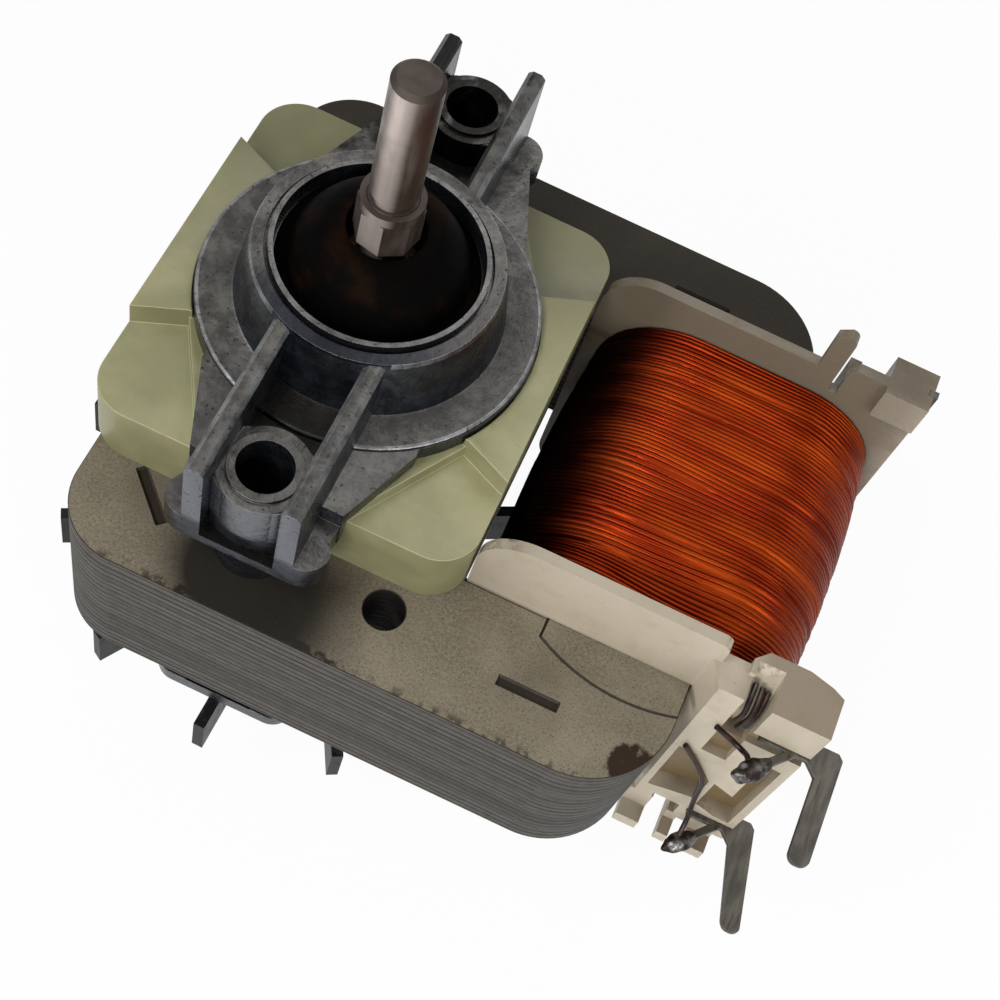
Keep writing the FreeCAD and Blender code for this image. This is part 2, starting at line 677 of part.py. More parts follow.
def make_insulator(label, side, wide):
    body = new_body(label)
    up = side > 0
    disc_bottom = s.disc_top - s.disc_thickness
    deep = s.tray_half_y
    base = new_sketch(body, label + "_base", "XY_Plane", tray_level(side, as_size(0)))
    rounded_rectangle(base, wide, deep, s.tray_round)
    pad(body, base, s.tray_corner, reverse=not up)

    middle = new_sketch(body, label + "_middle", "XY_Plane", tray_level(side, s.tray_corner))
    outline(middle, [
        (wide, -s.pocket_side), (wide, s.pocket_side),
        (s.pocket_inner_x, s.pocket_inner_y), (s.pocket_front_x, deep),
        (-s.pocket_front_x, deep), (-s.pocket_inner_x, s.pocket_inner_y),
        (-wide, s.pocket_side), (-wide, -s.pocket_side),
        (-s.pocket_inner_x, -s.pocket_inner_y), (-s.pocket_front_x, -deep),
        (s.pocket_front_x, -deep), (s.pocket_inner_x, -s.pocket_inner_y),
    ])
    pad(body, middle, disc_bottom - s.tray_corner, reverse=not up)

    wings = new_sketch(body, label + "_wings", "XY_Plane", tray_level(side, disc_bottom))
    outline(wings, [
        (wide, -s.pocket_side), (wide, s.pocket_side),
        (s.pocket_inner_x, s.pocket_inner_y),
        (-s.pocket_inner_x, s.pocket_inner_y),
        (-wide, s.pocket_side), (-wide, -s.pocket_side),
        (-s.pocket_inner_x, -s.pocket_inner_y),
        (s.pocket_inner_x, -s.pocket_inner_y),
    ])
    pad(body, wings, s.tray_height - disc_bottom, reverse=not up)

    seat = new_sketch(body, label + "_seat", "XY_Plane", tray_level(side, s.tray_height))
    circle(seat, 0, 0, s.disc_radius + s.tray_seat)
    pocket(body, seat, s.tray_height - disc_bottom, reverse=not up)

    hollow = new_sketch(body, label + "_hollow", "XY_Plane", tray_level(side, as_size(0)))
    rounded_rectangle(hollow, wide - s.tray_wall, deep - s.tray_wall, s.tray_round - s.tray_wall)
    pocket(body, hollow, s.tray_corner - s.tray_roof, reverse=up)

    opening = new_sketch(body, label + "_opening", "XY_Plane", tray_level(side, as_size(0)))
    circle(opening, 0, 0, s.hub_radius + s.tray_play)
    pocket(body, opening)

    passage = new_sketch(body, label + "_passage", "XY_Plane", tray_level(side, as_size(0)))
    for sign in (-1, 1):
        circle(passage, 0, s.boss_y * sign, s.boss_column + s.tray_play)
    pocket(body, passage)


# Bearing brackets

def arm_points(sign):
    """The arm's sheet above the insulator, from inside the disc to the bend."""
    root, bend = s.arm_root, arm_bend
    return [
        (s.arm_root_half, (root - s.arm_plate) * sign),
        (s.arm_root_half, root * sign),
        (s.arm_bend_half, bend * sign),
        (-s.arm_bend_half, bend * sign),
        (-s.arm_root_half, root * sign),
        (-s.arm_root_half, (root - s.arm_plate) * sign),
    ]


def foot_points(sign, start, side):
    """The arm's end, which flares to two ears with round corners."""
    reach, ear, half = s.arm_reach, s.ear_round, s.arm_foot_half
    waist = s.arm_waist_half
    return [
        (s.arm_bend_half, start * sign),
        (waist, s.arm_waist * sign),
        (half, (reach - ear) * sign),
        ((half - ear, reach * sign), ear, side),
        (-half + ear, reach * sign),
        ((-half, (reach - ear) * sign), ear, side),
        (-waist, s.arm_waist * sign),
        (-s.arm_bend_half, start * sign),
    ]


def ball_seat(centre, direction):
    """Three corners of a bearing seat in section: the chamber's edge, the far side, its opening."""
    seat = s.ball_radius + s.ball_play
    shoulder = s.seat_shoulder
    wide = (seat * seat - shoulder * shoulder).root()
    low = (seat * seat - s.hub_opening * s.hub_opening).root()
    return (wide, centre + shoulder * direction), (s.hub_opening, centre + low * direction)


def rib_top_edge(edge):
    """True for the long edges along the top of a rib, outside the cup ring."""
    ends = [vertex.Point for vertex in edge.Vertexes]
    if len(ends) != 2 or abs(ends[0].x - ends[1].x) > HALF_TURN:
        return False
    level = (stack_top + s.rib_top).value
    on_top = all(abs(point.z - level) < HALF_TURN for point in ends)
    return on_top and abs(ends[0].y - ends[1].y) > s.ear_round.value


def make_front_bracket():
    body = new_body("front_bracket")

    def at(radius, height):
        return radius, stack_top + height

    top, floor = s.disc_top, s.disc_top - s.disc_thickness
    mouth_floor = s.lip_top - s.mouth_depth
    chamber = s.ball_height - s.seat_shoulder
    near, far = ball_seat(stack_top + s.ball_height, -1)
    turned = new_sketch(body, "front_section", "XZ_Plane")
    outline(turned, [
        at(s.hub_radius, floor),
        at(s.disc_radius, floor),
        at(s.disc_radius, top),
        at(s.cone_foot, top),
        at(s.ring_radius, s.ring_top - s.ring_slope),
        at(s.ring_radius - s.ring_bevel, s.ring_top),
        at(s.lip_radius + s.groove_width, s.ring_top),
        at(s.lip_radius + s.groove_width, s.ring_top - s.groove_depth),
        at(s.lip_radius, s.ring_top - s.groove_depth),
        at(s.lip_radius, s.lip_top),
        at(s.mouth_radius, s.lip_top),
        at(s.mouth_radius, mouth_floor),
        at(s.felt_bore, mouth_floor),
        at(s.felt_bore, chamber),
        near,
        (far, s.ball_radius + s.ball_play, -1),
        at(s.hub_opening, s.hub_bottom),
        at(s.hub_radius, s.hub_bottom),
    ])
    turn(body, turned)

    for sign, name in ((-1, "near"), (1, "far")):
        start = arm_bend - s.arm_plate
        plate = new_sketch(body, name + "_arm", "XY_Plane", stack_top + floor)
        outline(plate, arm_points(sign) if sign > 0 else arm_points(sign)[::-1])
        pad(body, plate, s.disc_thickness)
        web = new_sketch(body, name + "_bend", "XY_Plane", stack_top + foot_bottom)
        half = s.arm_bend_half
        rectangle(web, -half, start * sign, half, arm_bend * sign)
        pad(body, web, top - foot_bottom)
        foot = new_sketch(body, name + "_foot", "XY_Plane", stack_top + foot_bottom)
        points = foot_points(sign, start, 1)
        if sign < 0:
            points = mirrored(points)
        outline(foot, points)
        pad(body, foot, s.ear_top - foot_bottom)
        floor_cut = new_sketch(body, name + "_floor", "XY_Plane", stack_top + s.arm_floor)
        rectangle(floor_cut, -s.rib_gap, arm_bend * sign, s.rib_gap, (s.arm_reach + s.arm_plate) * sign)
        pocket(body, floor_cut, s.ear_top - s.arm_floor, reverse=True)
        for side, rib_name in ((-1, "left"), (1, "right")):
            rib = new_sketch(body, "%s_%s_rib" % (name, rib_name), "YZ_Plane", s.rib_gap * side)
            outline(rib, [
                (s.rib_start * sign, stack_top + floor),
                (arm_bend * sign, stack_top + floor),
                (arm_bend * sign, stack_top + foot_bottom),
                (s.arm_reach * sign, stack_top + foot_bottom),
                (s.arm_reach * sign, stack_top + s.rib_top),
                (s.rib_start * sign, stack_top + s.rib_top),
            ][::sign])
            pad(body, rib, s.rib_thickness, reverse=side < 0)
        skirt = new_sketch(body, name + "_skirt", "XY_Plane", stack_top + floor)
        circle(skirt, 0, s.boss_y * sign, s.boss_skirt)
        pad(body, skirt, s.stack_drop - s.skirt_drop - floor)
        column = new_sketch(body, name + "_column", "XY_Plane", stack_top)
        circle(column, 0, s.boss_y * sign, s.boss_column)
        pad(body, column, s.stack_drop - s.boss_step)
        ring = new_sketch(body, name + "_ring", "XY_Plane", stack_top)
        circle(ring, 0, s.boss_y * sign, s.boss_ring)
        pad(body, ring, s.stack_drop)
        hole = new_sketch(body, name + "_hole", "XY_Plane")
        circle(hole, 0, s.boss_y * sign, s.boss_hole)
        pocket(body, hole, s.boss_hole_depth)
        tapped = new_sketch(body, name + "_tapped", "XY_Plane", stack_top)
        circle(tapped, 0, s.boss_y * sign, s.screw_radius + s.slip)
        pocket(body, tapped, s.screw_bite + s.screw_spare, reverse=True)
    soften(body, "rib_tops", rib_top_edge, s.rib_bevel, "PartDesign::Chamfer")


def mirrored(steps):
    """The same outline drawn the other way round, so that its arcs keep their bulge."""
    points = [step if len(step) == 2 else step[0] for step in steps]
    arcs = [None if len(step) == 2 else step[1:] for step in steps]
    turned = []
    for index in range(len(points) - 1, -1, -1):
        arc = arcs[(index + 1) % len(points)]
        turned.append(points[index] if arc is None else (points[index], arc[0], arc[1]))
    return turned


def make_rear_bracket():
    body = new_body("rear_bracket")

    def at(radius, depth):
        return radius, stack_bottom - depth

    top, floor = s.disc_top, s.disc_top - s.disc_thickness
    shelf = s.rear_cup_end - s.rear_mouth_depth
    chamber = s.rear_ball_depth - s.seat_shoulder
    hub_end = s.rear_ball_depth - s.ball_height + s.hub_bottom
    near, far = ball_seat(stack_bottom - s.rear_ball_depth, 1)
    turned = new_sketch(body, "rear_section", "XZ_Plane")
    outline(turned, [
        at(s.hub_radius, floor),
        at(s.hub_radius, hub_end),
        at(s.hub_opening, hub_end),
        far,
        (near, s.ball_radius + s.ball_play, -1),
        at(s.rear_felt_bore, chamber),
        at(s.rear_felt_bore, shelf),
        at(s.rear_mouth, shelf),
        at(s.rear_mouth, s.rear_cup_end),
        at(s.rear_cup_radius, s.rear_cup_end),
        at(s.rear_cup_radius, top),
        at(s.disc_radius, top),
        at(s.disc_radius, floor),
    ])
    turn(body, turned)
    for sign, name in ((-1, "near"), (1, "far")):
        plate = new_sketch(body, name + "_rear_arm", "XY_Plane", stack_bottom - top)
        outline(plate, arm_points(sign) if sign > 0 else arm_points(sign)[::-1])
        pad(body, plate, s.disc_thickness)
        foot = new_sketch(body, name + "_rear_foot", "XY_Plane", stack_bottom - top)
        points = foot_points(sign, arm_bend - s.arm_plate, 1)
        if sign < 0:
            points = mirrored(points)
        outline(foot, points)
        pad(body, foot, s.disc_thickness)
        column = new_sketch(body, name + "_rear_column", "XY_Plane", stack_bottom - floor)
        circle(column, 0, s.boss_y * sign, s.boss_column)
        pad(body, column, floor)
        hole = new_sketch(body, name + "_rear_hole", "XY_Plane", stack_bottom)
        circle(hole, 0, s.boss_y * sign, s.screw_radius + s.screw_play)
        pocket(body, hole, top)


# Bearings and what holds them

def make_bearing(label, centre):
    body = new_body(label)
    bore = s.shaft_radius + s.running
    end = (s.ball_radius * s.ball_radius - s.ball_half * s.ball_half).root()
    outline(new_sketch(body, label + "_section", "XZ_Plane"), [
        (end, centre - s.ball_half),
        ((end, centre + s.ball_half), s.ball_radius, 1),
        (bore, centre + s.ball_half),
        (bore, centre - s.ball_half),
    ])
    turn(body, body.Group[0])


def make_felt(label, base, side, outer):
    body = new_body(label)
    ring = new_sketch(body, label + "_ring", "XY_Plane", base + s.slip * side)
    circle(ring, 0, 0, outer - s.slip)
    circle(ring, 0, 0, s.ball_radius + s.felt_play)
    pad(body, ring, s.felt_height, reverse=side < 0)


def make_retainer(label, base, side, outer):
    """A cone of spring steel that holds the bearing in its seat."""
    body = new_body(label)
    low = base + (s.felt_height + s.slip * 2) * side
    rim, inner = outer - s.slip, s.spring_hole
    sheet, rise = s.spring_sheet * side, s.spring_rise * side
    points = [(rim, low), (rim, low + sheet), (inner, low + sheet + rise), (inner, low + rise)]
    outline(new_sketch(body, label + "_section", "XZ_Plane"), points)
    turn(body, body.Group[0])


# The dome's curve: how far in, and how far up, as parts of the whole.
DOME_BANDS = ((0.1, 0.42), (0.32, 0.74), (0.64, 0.93))


def make_front_cap():
    body = new_body("front_bearing_cap")
    seat = stack_top + s.lip_top - s.mouth_depth + s.slip
    crown = stack_top + s.cap_dome_top
    sheet = s.cap_sheet
    shoulder = s.cap_dome_radius
    foot = seat + s.cap_step
    rise = crown - foot
    reach = shoulder - sheet - s.cap_hole
    bands = [(shoulder - sheet - reach * across, foot + rise * up) for across, up in DOME_BANDS]
    inside = [(x - sheet, z - sheet) for x, z in bands]
    outline(new_sketch(body, "front_cap_section", "XZ_Plane"), [
        (s.mouth_radius - s.slip, seat),
        (s.mouth_radius - s.slip, seat + sheet),
        (shoulder + sheet * 2, seat + sheet),
        (shoulder + sheet, foot),
        (shoulder - sheet, foot),
    ] + bands + [
        (s.cap_hole, crown),
        (s.cap_hole, crown - sheet),
    ] + inside[::-1] + [
        (shoulder - sheet * 2, foot - sheet),
        (shoulder, foot - sheet),
        (shoulder + sheet, seat),
    ])
    turn(body, body.Group[0])


def make_rear_cap():
    body = new_body("rear_bearing_cap")
    seat = stack_bottom - s.rear_cup_end + s.rear_mouth_depth - s.slip
    sheet = s.cap_sheet
    brim = s.rear_mouth - s.slip
    step = brim - s.rear_cap_brim
    outline(new_sketch(body, "rear_cap_section", "XZ_Plane"), [
        (brim, seat),
        (step, seat),
        (step - sheet, seat - s.rear_cap_rise),
        (s.cap_hole, seat - s.rear_cap_rise),
        (s.cap_hole, seat - s.rear_cap_rise - sheet),
        (step, seat - s.rear_cap_rise - sheet),
        (step + sheet, seat - sheet),
        (brim, seat - sheet),
    ])
    turn(body, body.Group[0])


# Rotor

def make_rotor_core():
    body = new_body("rotor_core")
    core = new_sketch(body, "rotor_outline", "XY_Plane", stack_bottom)
    circle(core, 0, 0, s.rotor_bore - s.rotor_gap)
    circle(core, 0, 0, s.shaft_radius + s.slip)
    pad(body, core, s.stack_height)
    slot = new_sketch(body, "rotor_slot", "XY_Plane", stack_bottom)
    half = s.bar_width / 2 + s.slip
    rectangle(slot, s.bar_circle - half, -half, s.bar_circle + half, half)
    repeat(body, pocket(body, slot, s.stack_height, reverse=True), s.bar_count)


def make_rotor_cage():
    body = new_body("rotor_cage")
    low = new_sketch(body, "cage_low_ring", "XY_Plane", stack_bottom - s.slip)
    circle(low, 0, 0, s.cage_ring)
    circle(low, 0, 0, s.cage_inner)
    pad(body, low, s.cage_height, reverse=True)
    bar = new_sketch(body, "cage_bar", "XY_Plane", stack_bottom - s.slip)
    half = s.bar_width / 2
    rectangle(bar, s.bar_circle - half, -half, s.bar_circle + half, half)
    repeat(body, pad(body, bar, s.stack_height + s.slip * 2), s.bar_count)
    high = new_sketch(body, "cage_high_ring", "XY_Plane", stack_top + s.slip)
    circle(high, 0, 0, s.cage_ring)
    circle(high, 0, 0, s.cage_inner)
    pad(body, high, s.cage_height)


def make_shaft():
    body = new_body("shaft")
    tail = stack_bottom - s.fan_drop - s.blade_height - s.clip_sheet - s.shaft_tail
    tip = stack_top + s.shaft_top
    neck = stack_top + s.collar_top
    bevel = s.shaft_chamfer
    outline(new_sketch(body, "shaft_section", "XZ_Plane"), [
        (as_size(0), tail),
        (s.shaft_radius - bevel, tail),
        (s.shaft_radius, tail + bevel),
        (s.shaft_radius, neck),
        (s.shaft_neck, neck),
        (s.shaft_neck, neck + s.shaft_neck_height),
        (s.shaft_radius, neck + s.shaft_neck_height + s.shaft_radius - s.shaft_neck),
        (s.shaft_radius, tip - bevel),
        (s.shaft_radius - bevel, tip),
        (as_size(0), tip),
    ])
    turn(body, body.Group[0])


def make_ring(label, base, height, outer, inner, reverse=False):
    body = new_body(label)
    ring = new_sketch(body, label + "_ring", "XY_Plane", base)
    circle(ring, 0, 0, outer)
    circle(ring, 0, 0, inner)
    pad(body, ring, height, reverse=reverse)
    return body


COLLAR_FACETS = 8
COLLAR_TURN = 10


def make_collar():
    body = new_body("shaft_collar")
    shoulder = s.collar_top - s.collar_round_height
    facets = new_sketch(body, "collar_facets", "XY_Plane", stack_top + s.collar_bottom)
    outline(facets, [around(s.collar_radius, COLLAR_TURN + corner * 360 / COLLAR_FACETS)
                     for corner in range(COLLAR_FACETS)])
    pad(body, facets, shoulder - s.collar_bottom)
    upper = new_sketch(body, "collar_round", "XY_Plane", stack_top + shoulder)
    circle(upper, 0, 0, s.collar_round)
    pad(body, upper, s.collar_round_height)
    bore = new_sketch(body, "collar_bore", "XY_Plane", stack_top + s.collar_bottom)
    circle(bore, 0, 0, s.shaft_radius + s.slip)
    pocket(body, bore)


def make_cooling_fan():
    body = new_body("cooling_fan")
    base = stack_bottom - s.fan_drop - s.blade_height
    web = new_sketch(body, "fan_web", "XY_Plane", base)
    circle(web, 0, 0, s.web_radius)
    pad(body, web, s.web_sheet)
    hub = new_sketch(body, "fan_hub", "XY_Plane", base)
    circle(hub, 0, 0, s.fan_hub)
    pad(body, hub, s.fan_hub_height)
    blade = new_sketch(body, "fan_blade", "XY_Plane", base)
    rectangle(blade, s.blade_root, -s.blade_sheet / 2, s.fan_radius, s.blade_sheet / 2)
    repeat(body, pad(body, blade, s.blade_height), s.blade_count)
    bore = new_sketch(body, "fan_bore", "XY_Plane", base)
    circle(bore, 0, 0, s.shaft_radius + s.slip)
    pocket(body, bore)
    body.Placement = FreeCAD.Placement(FreeCAD.Vector(), FreeCAD.Rotation(FreeCAD.Vector(0, 0, 1), 1))
    bind(body, "Placement.Rotation.Angle", s.fan_turn)


def make_screw(label, sign):
    body = new_body(label)
    seat = stack_bottom - s.disc_top
    x, y = as_size(0), s.boss_y * sign
    shank = new_sketch(body, label + "_shank", "XY_Plane", seat)
    circle(shank, x, y, s.screw_radius)
    pad(body, shank, s.disc_top + s.stack_height + s.screw_bite)
    head = new_sketch(body, label + "_head", "XY_Plane", seat)
    circle(head, x, y, s.screw_head)
    pad(body, head, s.screw_head_height, reverse=True)
    drive = new_sketch(body, label + "_drive", "XY_Plane", seat - s.screw_head_height)
    circle(drive, x, y, s.screw_socket)
    pocket(body, drive, s.screw_head_height / 2, reverse=True)


# Coil: bobbin, winding and terminals

def upright_block(body, name, side, place, depth, corners):
    """A solid drawn in the front view, from a Y place outwards to one side (-1 front, 1 rear)."""
    sketch = new_sketch(body, name, "XZ_Plane", -place * side)
    outline(sketch, corners if len(corners) > 2 else box_corners(*corners))
    return pad(body, sketch, depth, reverse=side > 0)


def upright_cut(body, name, side, place, depth, corners):
    """A cut drawn in the front view, from a Y place inwards."""
    sketch = new_sketch(body, name, "XZ_Plane", -place * side)
    outline(sketch, corners if len(corners) > 2 else box_corners(*corners))
    return pocket(body, sketch, depth, reverse=side > 0)


def box_corners(low, high):
    return [(high[0], low[1]), high, (low[0], high[1]), low]


def flat_block(body, name, base, height, corners):
    """A solid drawn in the top view, upwards from its base."""
    sketch = new_sketch(body, name, "XY_Plane", base)
    outline(sketch, corners if len(corners) > 2 else box_corners(*corners))
    return pad(body, sketch, height)


def level(height):
    """A height above the top of the stack."""
    return stack_top + height


def make_front_block(body, outer):
    """Strip, wire slot, head over the upper tab, recessed face and feet."""
    front, right = s.face_front, s.block_end
    proud = front - outer
    low = stack_bottom - s.block_low
    bar_low = stack_bottom - s.bar_low
    upright_block(body, "block_frame", -1, outer, proud, [
        (right, low), (right, level(s.strip_top)), (s.strip_left, level(s.strip_top)),
        (s.strip_left, bar_low), (s.gap_left, bar_low), (s.gap_left, stack_bottom - s.gap_high),
        (s.gap_right, stack_bottom - s.gap_high), (s.gap_right, low),
    ])
    near = s.stack_right + s.tube_play
    flat_block(body, "block_ramp", bar_low, level(s.strip_top) - bar_low, [
        (s.strip_left, -front), (s.strip_left + s.tube_wall, -front),
        (s.strip_left + s.tube_wall, s.flange_sheet / 2 - outer),
        (near, s.flange_sheet / 2 - outer), (near, -outer),
    ])
    upright_block(body, "block_head", -1, outer, s.head_front - outer, [
        (s.slot_right, level(s.head_under)), (right, level(s.head_top)),
    ])
    lip_height = s.head_top - s.lip_under
    corner = s.head_front - front + s.strip_sheet
    flat_block(body, "block_lip", level(s.lip_under), lip_height, [
        (s.lip_left, -outer), (right, -outer), (right, -s.lip_back - corner),
        (right - corner, -s.lip_back - corner / 2), (right - corner * 3, -s.lip_back),
        (s.lip_left + corner, -s.lip_back), (s.lip_left, -s.lip_back - corner),
    ])
    guide = new_sketch(body, "wire_guide", "YZ_Plane", s.slot_right)
    back = s.lip_back + corner
    outline(guide, [
        (-back, level(s.head_top)), (-outer, level(s.head_top - s.lip_slope)),
        (-front, level(s.head_top - s.lip_slope)), (-front, level(s.head_top)),
    ])
    pocket(body, guide, s.slot_right - s.slot_left)
    upright_cut(body, "wire_slot", -1, front, proud, [
        (s.slot_left, level(-s.slot_low)), (s.slot_right, level(s.head_top)),
    ])
    upright_cut(body, "wire_floor", -1, front, s.wire_floor_depth, [
        (s.slot_left, level(-s.wire_floor_low)), (s.slot_right, level(-s.slot_low)),
    ])
    upright_cut(body, "tab_bay", -1, front, s.bay_depth, [
        (s.slot_right, level(-s.bay_low)), (right, level(s.head_under)),
    ])
    mid = level(-s.lead_recess_mid)
    upright_cut(body, "lead_recess", -1, front, s.recess_depth, [
        (s.lead_recess_left, level(-s.lead_recess_low) - s.tube_wall / 2),
        (s.lead_recess_right, level(-s.lead_recess_low) + s.flange_sheet),
        (s.lead_recess_right, mid),
        (s.slot_left, level(-s.lead_recess_high)),
        (s.lead_recess_left, level(-s.lead_recess_high)),
    ])
    step = level(-s.hook_step)
    upright_cut(body, "hook_recess", -1, front, s.recess_depth, [
        (s.hook_left, level(-s.hook_low) + s.flange_sheet), (s.hook_inner, level(-s.hook_low)),
        (s.hook_right, level(-s.hook_low)), (s.hook_right, level(-s.hook_high)),
        (s.hook_inner, level(-s.hook_high)), (s.hook_inner, step - s.flange_sheet),
        (s.hook_left, step),
    ])
    foot_low = stack_bottom - s.foot_low
    toe = foot_low + s.foot_height
    for name, left, width, top in (
            ("first", s.strip_left - s.tube_wall / 2, s.foot_width, bar_low),
            ("second", s.gap_right - s.foot_width / 4, s.foot_width / 2, low + s.tube_wall),
            ("last", s.last_foot, s.foot_width, low)):
        upright_block(body, name + "_foot", -1, outer, proud, [(left, foot_low), (left + width, top)])
        upright_block(body, name + "_toe", -1, front, s.foot_front - front, [
            (left, foot_low), (left + width, toe)])


def make_rear_block(body, outer):
    """The higher block at the rear, with its own wire slot and a terminal strip at its end."""
    front, right = s.back_front, s.back_end
    upright_block(body, "back_head", 1, outer, front - outer, [
        (s.back_head_left, level(-s.back_low)), (right, level(s.back_top)),
    ])
    upright_block(body, "back_slot_wall", 1, outer, front - outer, [
        (s.back_gap, level(-s.back_low)), (s.back_gap + s.back_wall, level(s.back_wall_top)),
    ])
    upright_block(body, "back_slot_floor", 1, outer, front - outer, [
        (s.back_gap, level(-s.back_low)), (s.back_head_left + s.slip, level(0.0)),
    ])
    flat_block(body, "back_lip", level(s.back_lip_under), s.back_top - s.back_lip_under, [
        (s.back_head_left, s.back_lip), (right, outer),
    ])
    upright_cut(body, "strip_seat", 1, outer + s.strip_depth + s.slip, s.strip_depth + s.slip * 2, [
        (right + s.strip_proud - s.strip_sheet - s.slip, level(s.strip_low) - s.slip),
        (right + s.strip_proud, level(s.back_top)),
    ])


def make_bobbin():
    body = new_body("coil_bobbin")
    high, low = level(s.flange_rise), stack_bottom - s.flange_rise
    left, bend, corner = s.flange_left, s.flange_round, s.flange_corner
    right = s.flange_right
    outer, inner = s.window_half - s.slip, s.window_half - s.slip - s.flange_sheet
    tube_left = s.bar_left + s.slip - s.tube_play - s.tube_wall
    tube_right = s.stack_right + s.tube_play + s.tube_wall
    tube = new_sketch(body, "bobbin_tube", "XZ_Plane")
    rectangle(tube, tube_left, stack_bottom - s.tube_play - s.tube_wall,
              tube_right, stack_top + s.tube_play + s.tube_wall)
    pad(body, tube, inner * 2, midplane=True)

    round_left = [
        (left + bend, high),
        ((left, high - bend), bend, 1),
        (left, low + bend),
        ((left + bend, low), bend, 1),
    ]
    block_low = stack_bottom - s.block_low
    upright_block(body, "near_flange", -1, inner, s.flange_sheet, [
        (right, low), (right, block_low), (s.block_end, block_low),
        (s.block_end, level(s.strip_top)), (right, level(s.strip_top)),
        (right, high - corner), ((right - corner, high), corner, 1),
    ] + round_left)
    horn_left = right - s.horn_width
    upright_block(body, "far_flange", 1, inner, s.flange_sheet, [
        (right, low), (s.back_end, low + s.block_low), (s.back_end, level(s.back_top)),
        (s.back_gap + corner, level(s.back_top)),
        ((s.back_gap, level(s.back_top) - corner), corner, 1),
        (s.back_gap, level(s.back_notch)), (right, level(s.back_notch)),
        (right, level(s.horn_top) - corner),
        ((right - corner, level(s.horn_top)), corner, 1),
        (horn_left, level(s.horn_top) - corner), (horn_left, high),
    ] + round_left)
    make_front_block(body, outer)
    make_rear_block(body, outer)

    core = new_sketch(body, "bobbin_bore", "XZ_Plane")
    rectangle(core, tube_left + s.tube_wall, stack_bottom - s.tube_play,
              tube_right - s.tube_wall, stack_top + s.tube_play)
    pocket(body, core)
    reach = s.foot_front - s.tab_shoulder + s.slip
    for name, height in (("upper", level(s.tab_height)), ("lower", lower_tab)):
        upright_cut(body, name + "_tab_seat", -1, s.foot_front, reach, [
            (s.tab_root - s.slip, height - s.slip), (s.block_end + s.slip, height + s.tab_sheet + s.slip),
        ])


def winding_outline(sketch, swell):
    left, right = s.coil_left - swell, s.coil_right + swell
    high, low = stack_top + s.coil_rise + swell, stack_bottom - s.coil_rise - swell
    bend = s.coil_round
    return outline(sketch, [
        (left, low + bend),
        ((left + bend, low), bend, 1),
        (right - bend, low),
        ((right, low + bend), bend, 1),
        (right, high - bend),
        ((right - bend, high), bend, 1),
        (left + bend, high),
        ((left, high - bend), bend, 1),
    ])


def make_winding():
    body = new_body("copper_winding")
    reach = s.window_half - s.slip - s.flange_sheet - s.coil_play
    sections = []
    for name, place, swell in (("near", reach, as_size(0)), ("middle", as_size(0), s.coil_crown),
                               ("far", -reach, as_size(0))):
        sections.append(winding_outline(new_sketch(body, "winding_" + name, "XZ_Plane", place), swell))
    loft = body.newObject("PartDesign::AdditiveLoft", "winding_loft")
    loft.Profile = sections[0]
    loft.Sections = sections[1:]
    loft.Ruled = True
    doc.recompute()
    hole = new_sketch(body, "winding_bore", "XZ_Plane")
    play = s.tube_play + s.tube_wall + s.coil_play
    rectangle(hole, s.bar_left + s.slip - play, stack_bottom - play,
              s.stack_right + play, stack_top + play)
    pocket(body, hole)


def make_tab(label, height, shift, splay):
    """A flat stamping: root in the block, a leg to plug onto and a prong for the coil's lead."""
    body = new_body(label)
    left, right = s.tab_left - shift, s.tab_left - shift + s.tab_width
    back, front = s.tab_shoulder, s.tab_shoulder + s.tab_width
    tip, point = s.tab_tip, s.tab_point
    reach = s.prong_reach * math.cos(EIGHTH)
    wide = s.prong_width / 2 * math.cos(EIGHTH)
    prong = s.tab_root + s.prong_place
    sketch = new_sketch(body, label + "_outline", "XY_Plane", height)
    outline(sketch, [
        (s.tab_root, -front),
        (prong - wide * 2, -front),
        (prong - wide - reach, -front - reach),
        (prong - reach + wide, -front - reach - wide * 2),
        (prong + wide * 2, -front),
        (left - s.tab_neck, -front),
        (left, -front - s.tab_neck),
        (left + splay, point - tip),
        (left + splay + point, -tip),
        (right + splay - point, -tip),
        (right + splay, point - tip),
        (right, -back - point),
        (right - point, -back),
        (s.tab_root, -back),
    ])
    pad(body, sketch, s.tab_sheet)


def make_solder(label, height):
    """The solder round the end of a prong, hollow where the prong is."""
    body = new_body(label)
    half = s.solder_length / 2 * math.cos(EIGHTH)
    reach = s.prong_reach * math.cos(EIGHTH)
    wide = s.prong_width / 2 * math.cos(EIGHTH)
    end_x = s.tab_root + s.prong_place - reach + half
    end_y = -s.tab_shoulder - s.tab_width - reach - wide + half
    outer = new_sketch(body, label + "_outline", "XY_Plane", height - s.solder_wall)
    slanted_bar(outer, end_x - s.solder_wall / 2, end_y - s.solder_wall / 2,
                s.solder_length, s.prong_width + s.solder_wall * 2, 1)
    pad(body, outer, s.tab_sheet + s.solder_wall * 2)
    hollow = new_sketch(body, label + "_hollow", "XY_Plane", height - s.slip)
    slanted_bar(hollow, end_x - s.slip, end_y - s.slip,
                s.solder_length, s.prong_width + s.slip * 7, 1)
    pocket(body, hollow, s.tab_sheet + s.slip * 2, reverse=True)


